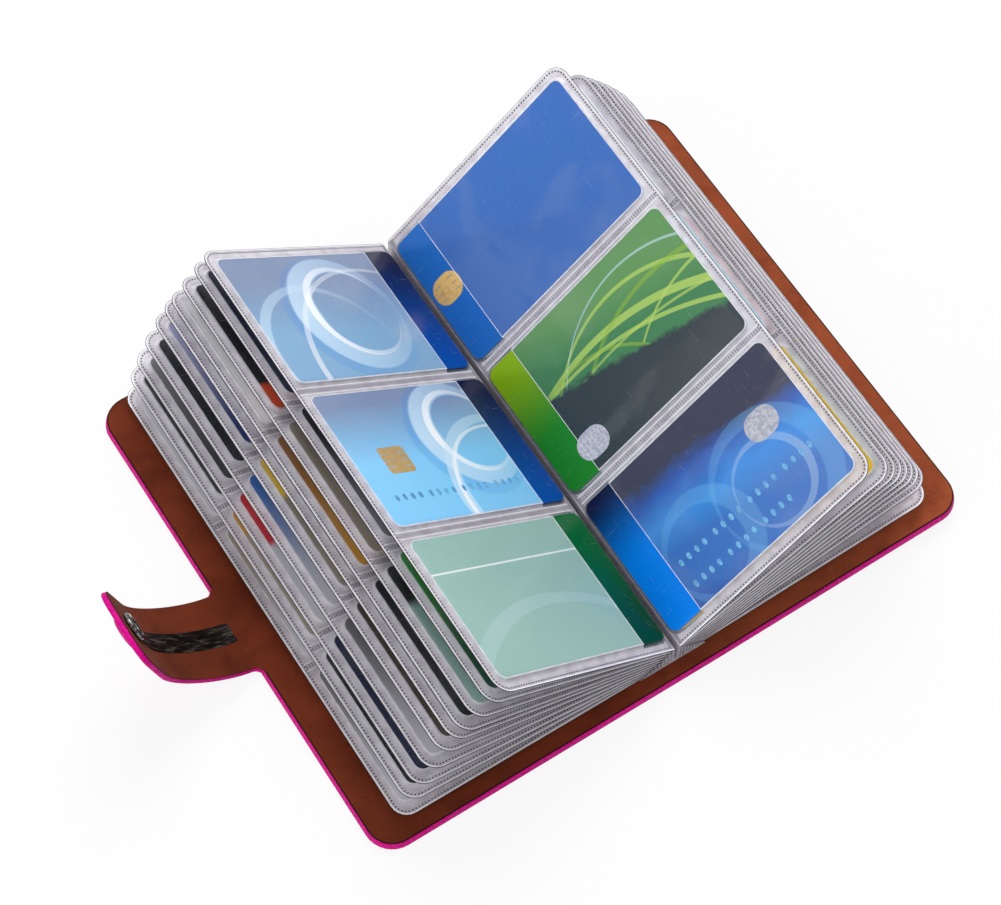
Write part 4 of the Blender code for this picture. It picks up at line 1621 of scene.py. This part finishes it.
class Leaf:
    """One pocket leaf: rim, frosted border, clear pockets, weld marks and the bent root."""

    def __init__(self, side: Side, number: int, finishes: Finishes, rows: WeldRows) -> None:
        """Read the leaf's fold line and angle from its joint.

        Args:
            side: Which page block the leaf belongs to.
            number: Its number from the open page down.
            finishes: The book's materials.
            rows: The tree that sets weld marks.
        """
        self.side = side
        self.number = number
        self.body = f"{side.word}_leaf_{number}"
        self.finishes = finishes
        self.rows = rows
        self.sizes = LeafSizes()
        joint = JOINTS[f"{self.body}_turn"]
        self.fold = Vector(joint["pos_m"])
        self.matrix = leaf_frame(side, math.radians(90 - joint["range_deg"][1]), self.fold)
        self.margin = self.sizes.margin + self.sizes.margin_step * (number - 1)
        self.end = self.margin + self.sizes.card_length + self.sizes.fore_margin

    def middle(self, place: Place) -> float:
        """The pocket's middle along the leaf's own second axis."""
        return self.side.value * (place.value - 1) * self.sizes.pitch

    def outline(self, inset: float, start: float = 0.0) -> list[Point]:
        """The leaf's outline from a start near its root, drawn in by an inset at its other edges."""
        half, corner = self.sizes.height / 2 - inset, self.sizes.corner - inset
        return rounded_panel((start, -half), (self.end - inset, half), (0.0, corner, corner, 0.0))

    def pocket(self, place: Place, grow: float, start: float | None = None) -> list[Point]:
        """A pocket's outline, grown from its card's outline.

        Args:
            place: Which pocket.
            grow: How far it lies outside the card.
            start: Where it starts with square corners, if not at the card's near edge.

        Returns:
            The outline's points.
        """
        sizes = self.sizes
        middle, half = self.middle(place), sizes.card_width / 2 + grow
        corner = sizes.card_corner + grow
        near, near_corner = (self.margin - grow, corner) if start is None else (start, 0.0)
        high = (self.margin + sizes.card_length + grow, middle + half)
        return rounded_panel((near, middle - half), high, (near_corner, corner, corner, near_corner))

    def front_film(self, place: Place) -> Mesh:
        """The clear front film, drawn over the card and open towards the spine.

        Args:
            place: Which pocket it covers.

        Returns:
            The film as a plain mesh.
        """
        sizes, looks = self.sizes, self.finishes
        steps = (
            (sizes.wall + 0.3 * MM, sizes.sheet), (0.75 * MM, 0.2 * MM), (0.36 * MM, 0.55 * MM),
            (0.1 * MM, 0.9 * MM), (-0.35 * MM, sizes.card_top + 0.05 * MM),
        )
        start = self.margin + sizes.mouth
        shape = Shape()
        over, under = (
            [shape.ring(flat(self.pocket(place, grow, start), height - drop)) for grow, height in steps]
            for drop in (0.0, sizes.film)
        )
        for before, after, slot in zip(over, over[1:], (1, 1, 1, 2)):
            shape.bridge(before, after, (slot,))
        for before, after in zip(under, under[1:]):
            shape.bridge(after, before)
        shape.face(over[-1])
        shape.face(under[-1][::-1])
        shape.bridge(under[0], over[0], (1,))
        mesh = shape.data("front_film")
        for material in (looks.window, looks.frost, looks.ridge):
            mesh.materials.append(material)
        return mesh

    def build_sheet(self) -> None:
        """Make the sheet: a painted shadow line round its cut edge, bright rim, frosted border, and the films
        of each pocket.
        """
        sizes, looks = self.sizes, self.finishes
        level, top = sizes.sheet, sizes.card_top
        pockets = [self.pocket(place, sizes.wall) for place in Place]
        near = self.margin - sizes.wall - 0.05 * MM
        outer, line, inner = (self.outline(inset) for inset in (0.0, sizes.dark_rim, sizes.rim))
        parts = [
            # painted shadow: a near-black line round the leaf's outer edge
            plate([outer, line], -level * 1.4, level * 1.5, looks.rim),
            plate([line, inner], -level * 1.6, level * 1.9, looks.bright),
            plate([self.outline(sizes.rim, near), *pockets], -level, level, looks.frost),
        ]
        if near > 0.1 * MM:
            root = block((near / 2, 0.0), near / 2, sizes.height / 2 - sizes.rim)
            parts.append(plate([root], -level, level, looks.gutter))
        for place, hole in zip(Place, pockets):
            mouth = (self.margin + sizes.mouth, self.middle(place))
            # painted highlight: a bright strip along the pocket's mouth stands for its glint
            edge = block(mouth, 0.07 * MM, sizes.card_width / 2 + 0.2 * MM)
            parts.append(plate([hole], -level, 0.0, looks.back_film))
            parts.append(self.front_film(place))
            parts.append(plate([edge], top, top + 0.12 * MM, looks.bright))
        declare(joined(f"{self.body}_sheet", parts, self.matrix), "film", self.body, body=self.body)

    def build_welds(self) -> None:
        """Set the dotted weld round three edges and the ladder welds between the pockets."""
        sizes, looks = self.sizes, self.finishes
        level = sizes.sheet + 0.01 * MM
        start, end = 2.0 * MM, self.end - 2.0 * MM
        corner = sizes.corner - sizes.dot_inset
        far, half = self.end - sizes.dot_inset, sizes.height / 2 - sizes.dot_inset
        around = [
            (start, -half), *corner_arc((far - corner, corner - half), corner, -QUARTER, QUARTER, 8),
            *corner_arc((far - corner, half - corner), corner, 0.0, QUARTER, 8), (start, half),
        ]
        seams = (-sizes.pitch / 2, sizes.pitch / 2)
        paths = [[(start, v, level), (end, v, level)] for v in seams]
        parts = [
            # the dotted weld's marks carry painted pit shade in their dark colour
            self.rows.row([flat(around, level)], sizes.dot_pitch, sizes.dot, looks.weld),
            self.rows.row(paths, sizes.tick_pitch, sizes.tick, looks.ladder),
        ]
        for v in seams:
            for offset in (-sizes.line_offset, sizes.line_offset):
                low, high = 1.0 * MM, self.end - 1.4 * MM
                strip = block(((low + high) / 2, v + offset), (high - low) / 2, sizes.line_half)
                parts.append(plate([strip], level - 0.02 * MM, level + 0.06 * MM, looks.bright))
        declare(joined(f"{self.body}_welds", parts, self.matrix), "film", body=self.body)

    def build_root(self) -> None:
        """The root of the sheet, bent from its upright tab out to the leaf."""
        half = self.sizes.height / 2
        up = Vector((0.0, 0.0, 1.0))
        out = self.matrix.to_3x3() @ Vector((1.0, 0.0, 0.0))
        bend_low = self.fold - up * (0.5 * MM)
        bend_high = self.fold + out * (0.6 * MM)
        stations = [(self.fold - up * (1.4 * MM), up)]
        for step in range(7):
            t = step / 6
            point = bend_low * (1 - t) ** 2 + self.fold * (2 * t * (1 - t)) + bend_high * t * t
            heading = (self.fold - bend_low) * (1 - t) + (bend_high - self.fold) * t
            stations.append((point, heading.normalized()))
        stations.append((self.fold + out * (1.5 * MM), out))
        rings = []
        for point, heading in stations:
            across = Vector((-heading.z, 0.0, heading.x)) * self.sizes.root_half
            low, high = point - across, point + across
            ends = ((low, -half), (low, half), (high, half), (high, -half))
            rings.append([(place.x, self.fold.y + v, place.z) for place, v in ends])
        shape = Shape()
        shape.loft(rings)
        piece = shape.piece(f"{self.body}_root", self.finishes.gutter)
        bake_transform(piece)
        declare(piece, "film")

    def build(self) -> None:
        """Make all of the leaf."""
        self.build_sheet()
        self.build_welds()
        self.build_root()


@dataclass(frozen=True)
class CardExtras:
    """What stands on a card's print: contact plate, foil patch and raised marks, in card shares."""

    chip: Point | None = None
    round_chip: bool = False
    foil: Point | None = None
    marks: tuple[tuple[float, int], ...] = ()


@dataclass
class Card:
    """One plastic card in its pocket."""

    leaf: Leaf
    place: Place
    material: Material
    extras: CardExtras = CardExtras()
    bevel: float = 0.09 * MM
    chip_half: Point = (6.1 * MM, 5.3 * MM)
    chip_rise: float = 0.035 * MM
    chip_middle: float = 1.7 * MM
    cut_from: float = 2.1 * MM
    cut_pitch: float = 2.6 * MM
    cut_half: float = 0.1 * MM
    foil_half: Point = (6.6 * MM, 5.0 * MM)
    foil_rise: float = 0.02 * MM
    mark_pitch: float = 3.1 * MM
    mark: Point = (1.7 * MM, 2.7 * MM)

    def spot(self, along: float, up: float) -> Point:
        """Find a place on the card.

        Args:
            along: Its share of the card's length, from the gutter.
            up: Its share of the card's width, from the tail.

        Returns:
            The place in the leaf's own coordinates.
        """
        leaf, sizes = self.leaf, self.leaf.sizes
        return (
            leaf.margin + along * sizes.card_length,
            leaf.middle(self.place) + leaf.side.value * (up - 0.5) * sizes.card_width,
        )

    def build(self) -> None:
        """Make the card and what stands on it."""
        leaf, sizes, bevel = self.leaf, self.leaf.sizes, self.bevel
        own = f"{leaf.side.word}_card_{leaf.number}_{self.place.name.lower()}"
        body = own if own in frame["bodies"] else leaf.body
        low, top = sizes.card_low, sizes.card_top
        steps = (
            (-bevel, low), (0.0, low + bevel), (0.0, top - bevel), (-bevel * 0.3, top - bevel * 0.3),
            (-bevel, top),
        )
        shape = Shape()
        shape.loft([flat(leaf.pocket(self.place, grow), height) for grow, height in steps])
        layer = shape.mesh.loops.layers.uv.new("print")
        corner = Vector(self.spot(0.0, 0.0))
        for face in shape.mesh.faces:
            for loop in face.loops:
                along, up = (loop.vert.co.xy - corner) / sizes.card_length
                loop[layer].uv = (along, up * leaf.side.value)
        name = f"{leaf.side.word}_{leaf.number}_{self.place.name.lower()}_plastic_card"
        piece = shape.piece(name, self.material, matrix=leaf.matrix)
        declare(piece, "card", *([own] if own in NODES else []), body=body)
        details = self.details()
        if details:
            declare(joined(f"{name}_details", details, leaf.matrix), "card", body=body)

    def contact(self, u: float, v: float) -> list[Mesh]:
        """The contact plate with its cuts and raised middle.

        Args:
            u: Its middle along the leaf.
            v: Its middle across the leaf.

        Returns:
            The plate's meshes.
        """
        top, look = self.leaf.sizes.card_top, self.leaf.finishes.chip
        corner, reach = (4.6 * MM, 4.4 * MM) if self.extras.round_chip else (1.4 * MM, 5.4 * MM)
        outlines = [block((u, v), *self.chip_half, corner, 6)]
        for sign in (-1, 1):
            for height in (-self.cut_pitch, 0.0, self.cut_pitch):
                near, far = sorted((u + sign * self.cut_from, u + sign * reach))
                low, high = v + height - self.cut_half, v + height + self.cut_half
                outlines.append([(near, low), (far, low), (far, high), (near, high)])
        middle = block((u, v), self.chip_middle, self.chip_middle, 0.6 * MM, 3)
        return [
            plate(outlines, top, top + self.chip_rise, look),
            plate([middle], top + 0.03 * MM, top + 0.045 * MM, look),
        ]

    def details(self) -> list[Mesh]:
        """Make what stands on the print.

        Returns:
            The contact plate, foil patch and raised marks as thin meshes on the card's face.
        """
        leaf, extras, top = self.leaf, self.extras, self.leaf.sizes.card_top
        parts = self.contact(*self.spot(*extras.chip)) if extras.chip else []
        if extras.foil:
            outline = block(self.spot(*extras.foil), *self.foil_half, 4.8 * MM, 6)
            parts.append(plate([outline], top, top + self.foil_rise, leaf.finishes.silver))
        for up, groups in extras.marks:
            spans = [(0.2 + 0.19 * group, 0.33 + 0.19 * group) for group in range(groups)]
            paths = [[(*self.spot(share, up), top) for share in span] for span in spans]
            # the raised marks' pale colour is a painted highlight
            parts.append(leaf.rows.row(paths, self.mark_pitch, self.mark, leaf.finishes.raised))
        return parts


class PageBlock:
    """The leaves of one side with their cards."""

    # prints of the lower leaves' cards, tail, middle and head; the many black ones are partly real black
    # cards and partly painted shade for the deep gaps under the leaves above
    LOWER: ClassVar[dict[Side, tuple[str, ...]]] = {
        Side.LEFT: (
            "FOREST LEAF, GREY BLACK, NAVY NAVY",
            "SAGE BLACK 0.72 0.04, TAN TAN, ORANGE BLACK 0.2 0.02",
            "BLACK BLACK, GOLD BROWN, WHITE WHITE",
            "BLACK BLACK, BLACK ROYAL, BLACK BLACK",
            "UMBER UMBER, TAN YELLOW 0.7 0.03, DEEP LAVENDER",
            "SILVER GREY, SILVER BLUE, BLACK BLACK",
            "NAVY NAVY, SILVER RED 0.6 0.03, BLACK GREY",
            "BLACK BLACK, TAN GOLD 0.8 0.03, BLACK BLACK",
            "SILVER GREY, SILVER TAN, SILVER SILVER",
        ),
        Side.RIGHT: (
            "YELLOW YELLOW, PALE PALE, WHITE WHITE",
            "LEAF LEAF, RED RED, BLACK SILVER 0.9 0.05",
            "WHITE WHITE, WHITE RED 0.5 0.05, SILVER PINK",
            "RED PINK, WHITE PINK, SILVER WHITE",
            "PINK PINK, SILVER SILVER, RED PINK",
            "WHITE SILVER, SILVER WHITE, SILVER PALE",
            "SILVER WHITE, WHITE SILVER, GREY WHITE",
            "WHITE WHITE, WHITE WHITE, WHITE SILVER",
        ),
    }

    def __init__(self, side: Side, finishes: Finishes, rows: WeldRows) -> None:
        """Hold the side and what its leaves share, and count them.

        Args:
            side: Which half of the open book the leaves lie on.
            finishes: The book's materials.
            rows: The tree that sets weld marks.
        """
        self.side = side
        self.finishes = finishes
        self.rows = rows
        self.count = sum(1 for name in JOINTS if name.startswith(f"{side.word}_leaf_"))

    @staticmethod
    def open_left() -> dict[Place, tuple[ArtCard, CardExtras]]:
        """Design the open page of the front side.

        Returns:
            Each card's print and what stands on it.
        """
        steel = ArtCard(
            "open_left_head", ((0.0, Tone.HAZE), (0.35, Tone.HAZE), (0.8, Tone.STEEL), (1.0, Tone.STEEL)), 90,
            (Tone.ROYAL, Tone.NAVY),
            (
                Ribbon((0.46, 0.30), 0.27, 0.090, Tone.OCEAN, 0.8, 0.30),
                Ribbon((0.45, 0.32), 0.25, 0.070, Tone.PALE, 0.9, 0.75),
                Ribbon((0.44, 0.33), 0.22, 0.020, Tone.WHITE, 1.0, 0.85),
                Ribbon((0.66, 0.10), 0.36, 0.030, Tone.PALE, 1.0, 0.55),
                Ribbon((0.30, 0.02), 0.52, 0.016, Tone.WHITE, 0.9, 0.5),
            ),
        )
        sky = ArtCard(
            "open_left_middle", ((0.0, Tone.SKY), (0.45, Tone.SKY), (0.9, Tone.STEEL), (1.0, Tone.STEEL)), 90,
            (Tone.ROYAL, Tone.NAVY),
            (
                Ribbon((0.30, 0.36), 0.24, 0.085, Tone.OCEAN, 0.8, 0.32),
                Ribbon((0.29, 0.38), 0.22, 0.066, Tone.PALE, 0.9, 0.8),
                Ribbon((0.28, 0.39), 0.195, 0.020, Tone.WHITE, 1.0, 0.9),
                Ribbon((0.16, 0.06), 0.38, 0.036, Tone.PALE, 0.9, 0.65),
                Ribbon((0.18, 0.04), 0.36, 0.012, Tone.WHITE, 0.9, 0.8),
            ),
        )
        mint = ArtCard(
            "open_left_tail", ((0.0, Tone.SAGE), (0.6, Tone.MINT), (1.0, Tone.MINT)), 60,
            (Tone.FOREST, Tone.PINE), (Ribbon((0.5, -0.5), 0.78, 0.05, Tone.PALE, 0.3, 0.18),),
            hairline_share=0.47, wave_share=0.01,
        )
        return {
            Place.HEAD: (steel, CardExtras()),
            Place.MIDDLE: (sky, CardExtras(chip=(0.77, 0.47), marks=((0.2, 4),))),
            Place.TAIL: (mint, CardExtras()),
        }

    @staticmethod
    def open_right() -> dict[Place, tuple[ArtCard, CardExtras]]:
        """Design the open page of the back side.

        Returns:
            Each card's print and what stands on it.
        """
        plain = ArtCard(
            "open_right_head", ((0.0, Tone.BLUE), (0.5, Tone.BLUE), (1.0, Tone.BLUE)), 0,
            (Tone.COBALT, Tone.COBALT), wave_share=0.01,
        )
        meadow = ArtCard(
            "open_right_middle",
            (
                (0.0, Tone.MEADOW), (0.24, Tone.MEADOW), (0.44, Tone.FERN), (0.54, Tone.FERN),
                (0.565, Tone.SLATE), (0.8, Tone.SLATE), (1.0, Tone.SLATE),
            ),
            -105, (Tone.LEAF, Tone.LIME),
            (
                Ribbon((0.45, -0.70), 1.10, 0.026, Tone.BLADE, 0.3, 0.8),
                Ribbon((0.62, -0.10), 0.60, 0.014, Tone.BLADE, 0.3, 0.7),
                Ribbon((0.80, -0.34), 0.78, 0.018, Tone.LIME, 0.3, 0.6),
                Ribbon((0.30, -0.95), 1.31, 0.014, Tone.BLADE, 0.3, 0.75),
                Ribbon((0.98, -0.30), 0.66, 0.012, Tone.BLADE, 0.3, 0.7),
                Ribbon((0.70, -0.02), 0.58, 0.008, Tone.PALE, 0.3, 0.45),
                Ribbon((0.30, -0.06), 0.44, 0.010, Tone.LIME, 0.3, 0.6),
                Ribbon((0.52, -1.30), 1.62, 0.010, Tone.BLADE, 0.3, 0.6),
            ),
            wave_share=0.02, ripple_share=0.022, band_turn=0.35, ribbons_to=0.535,
        )
        night = ArtCard(
            "open_right_tail",
            (
                (0.0, Tone.ROYAL), (0.14, Tone.COBALT), (0.34, Tone.COBALT), (0.5, Tone.OCEAN),
                (0.66, Tone.ROYAL), (0.74, Tone.INK), (1.0, Tone.INK),
            ),
            82, (Tone.AZURE, Tone.NAVY),
            (
                Ribbon((0.34, 0.16), 0.20, 0.050, Tone.SKY, 0.5, 0.22),
                Ribbon((0.70, 0.18), 0.26, 0.050, Tone.SKY, 0.4, 0.22),
                Ribbon((0.70, 0.18), 0.17, 0.020, Tone.PALE, 0.4, 0.25),
            ),
            wave_share=0.06, ripple_share=0.02, band_turn=0.45,
        )
        return {
            Place.HEAD: (plain, CardExtras(chip=(0.085, 0.52), round_chip=True)),
            Place.MIDDLE: (meadow, CardExtras(foil=(0.2, 0.16))),
            Place.TAIL: (night, CardExtras(foil=(0.80, 0.60), marks=((0.3, 4), (0.14, 3)))),
        }

    def build(self) -> None:
        """Make every leaf and card of this side."""
        designs = self.open_left() if self.side is Side.LEFT else self.open_right()
        for number in range(1, self.count + 1):
            leaf = Leaf(self.side, number, self.finishes, self.rows)
            leaf.build()
            if number == 1:
                for place, (design, extras) in designs.items():
                    Card(leaf, place, self.finishes.built(design), extras).build()
            else:
                for place, words in zip(Place, self.LOWER[self.side][number - 2].split(", ")):
                    Card(leaf, place, self.finishes.printed(words)).build()
        log.info("%s page block: %d leaves with %d cards", self.side.word, self.count, 3 * self.count)


@dataclass
class Studio:
    """Pale floor, soft lamps and the camera of the portrait."""

    camera_place: Spot = (-248.6 * MM, -312.6 * MM, 803.1 * MM)
    aim: Spot = (-11.96 * MM, 0.64 * MM, 20.0 * MM)
    roll_deg: float = 4.70
    image_width: float = 1001.0
    focal_px: float = 2600.0
    sensor: float = 36.0
    floor_half: float = 4.0
    floor_drop: float = 0.2 * MM
    floor_glow: float = 0.87
    world_strength: float = 0.55
    lamps: tuple[tuple[str, Spot, float, float], ...] = (
        ("window_lamp", (0.5, 0.7, 1.3), 0.9, 16.0), ("side_lamp", (-1.1, -0.3, 0.9), 0.8, 7.0),
    )

    @staticmethod
    def facing(place: Spot, aim: Spot) -> Matrix:
        """The matrix of a camera or lamp that looks from a place at an aim."""
        turn = (Vector(aim) - Vector(place)).to_track_quat("-Z", "Y")
        return Matrix.Translation(place) @ turn.to_matrix().to_4x4()

    def camera(self) -> None:
        """Stand the camera where the portrait was taken from."""
        data = bpy.data.cameras.new("portrait_camera")
        data.sensor_width = self.sensor
        data.lens = self.focal_px * self.sensor / self.image_width
        data.clip_start = 0.01
        view = linked("portrait_camera", data)
        roll = Matrix.Rotation(math.radians(self.roll_deg), 4, "Z")
        view.matrix_world = self.facing(self.camera_place, self.aim) @ roll
        bpy.context.scene.camera = view

    def lamp(self, name: str, place: Spot, size: float, power: float) -> None:
        """Hang one soft square lamp that faces the book.

        Args:
            name: The lamp's name.
            place: Where it hangs.
            size: Its side.
            power: Its power in watts.
        """
        data = bpy.data.lights.new(name, "AREA")
        data.shape = "SQUARE"
        data.size = size
        data.energy = power
        linked(name, data).matrix_world = self.facing(place, (0.0, 0.0, 0.0))

    def backdrop_share(self, graph: Graph) -> Socket:
        """Tell rays that show the backdrop from those that light the book.

        Args:
            graph: The tree to add the test to.

        Returns:
            One where the ray comes from the camera, a mirror or glass.
        """
        path = graph.add("ShaderNodeLightPath").outputs
        seen = graph.math("MAXIMUM", path["Is Camera Ray"], path["Is Glossy Ray"])
        return graph.math("MAXIMUM", seen, path["Is Transmission Ray"])

    def world(self) -> None:
        """White where it is seen, and a softer grey as light."""
        world = bpy.data.worlds.new("studio")
        bpy.context.scene.world = world
        world.use_nodes = True
        graph = Graph(world.node_tree)
        rest = graph.times(self.backdrop_share(graph), 1.0 - self.world_strength)
        feeds = {"Color": (1.0, 1.0, 1.0, 1.0), "Strength": graph.plus(self.world_strength, rest)}
        graph.add("ShaderNodeOutputWorld", {"Surface": graph.out("ShaderNodeBackground", feeds)})

    def floor(self) -> None:
        """A wide pale floor that shows white and keeps the book's shadow."""
        mesh = bpy.data.meshes.new("studio_floor")
        half = self.floor_half
        corners = flat([(-half, -half), (half, -half), (half, half), (-half, half)], 0.0)
        mesh.from_pydata(corners, [], [(0, 1, 2, 3)])
        material = bpy.data.materials.new("pale_floor")
        material.use_nodes = True
        graph = Graph(material.node_tree)
        matt = graph.out("ShaderNodeBsdfDiffuse", {"Color": (0.82, 0.82, 0.83, 1.0)})
        glow = graph.out("ShaderNodeEmission", {"Color": (1.0, 1.0, 1.0, 1.0), "Strength": 1.0})
        share = graph.times(self.backdrop_share(graph), self.floor_glow)
        both = graph.out("ShaderNodeMixShader", {0: share, 1: matt, 2: glow})
        graph.add("ShaderNodeOutputMaterial", {"Surface": both})
        mesh.materials.append(material)
        floor = linked("studio_floor", mesh)
        floor.location.z = -self.floor_drop

    def build(self) -> None:
        """Set up the whole studio."""
        bpy.context.scene.view_settings.view_transform = "Standard"
        self.camera()
        self.world()
        self.floor()
        for name, place, size, power in self.lamps:
            self.lamp(name, place, size, power)
        log.info("studio: %.1f mm lens", self.focal_px * self.sensor / self.image_width)


def main() -> None:
    """Dress the book, piece by piece."""
    logging.basicConfig(level=logging.INFO, format="%(name)s: %(message)s")
    Studio().build()
    finishes = Finishes()
    Covers(finishes).build()
    strap = Strap(finishes)
    strap.build()
    Snap(finishes, strap).build()
    rows = WeldRows()
    for side in Side:
        PageBlock(side, finishes, rows).build()
    dress_node("page_binding", finishes.frost)


if __name__ == "__main__":
    main()
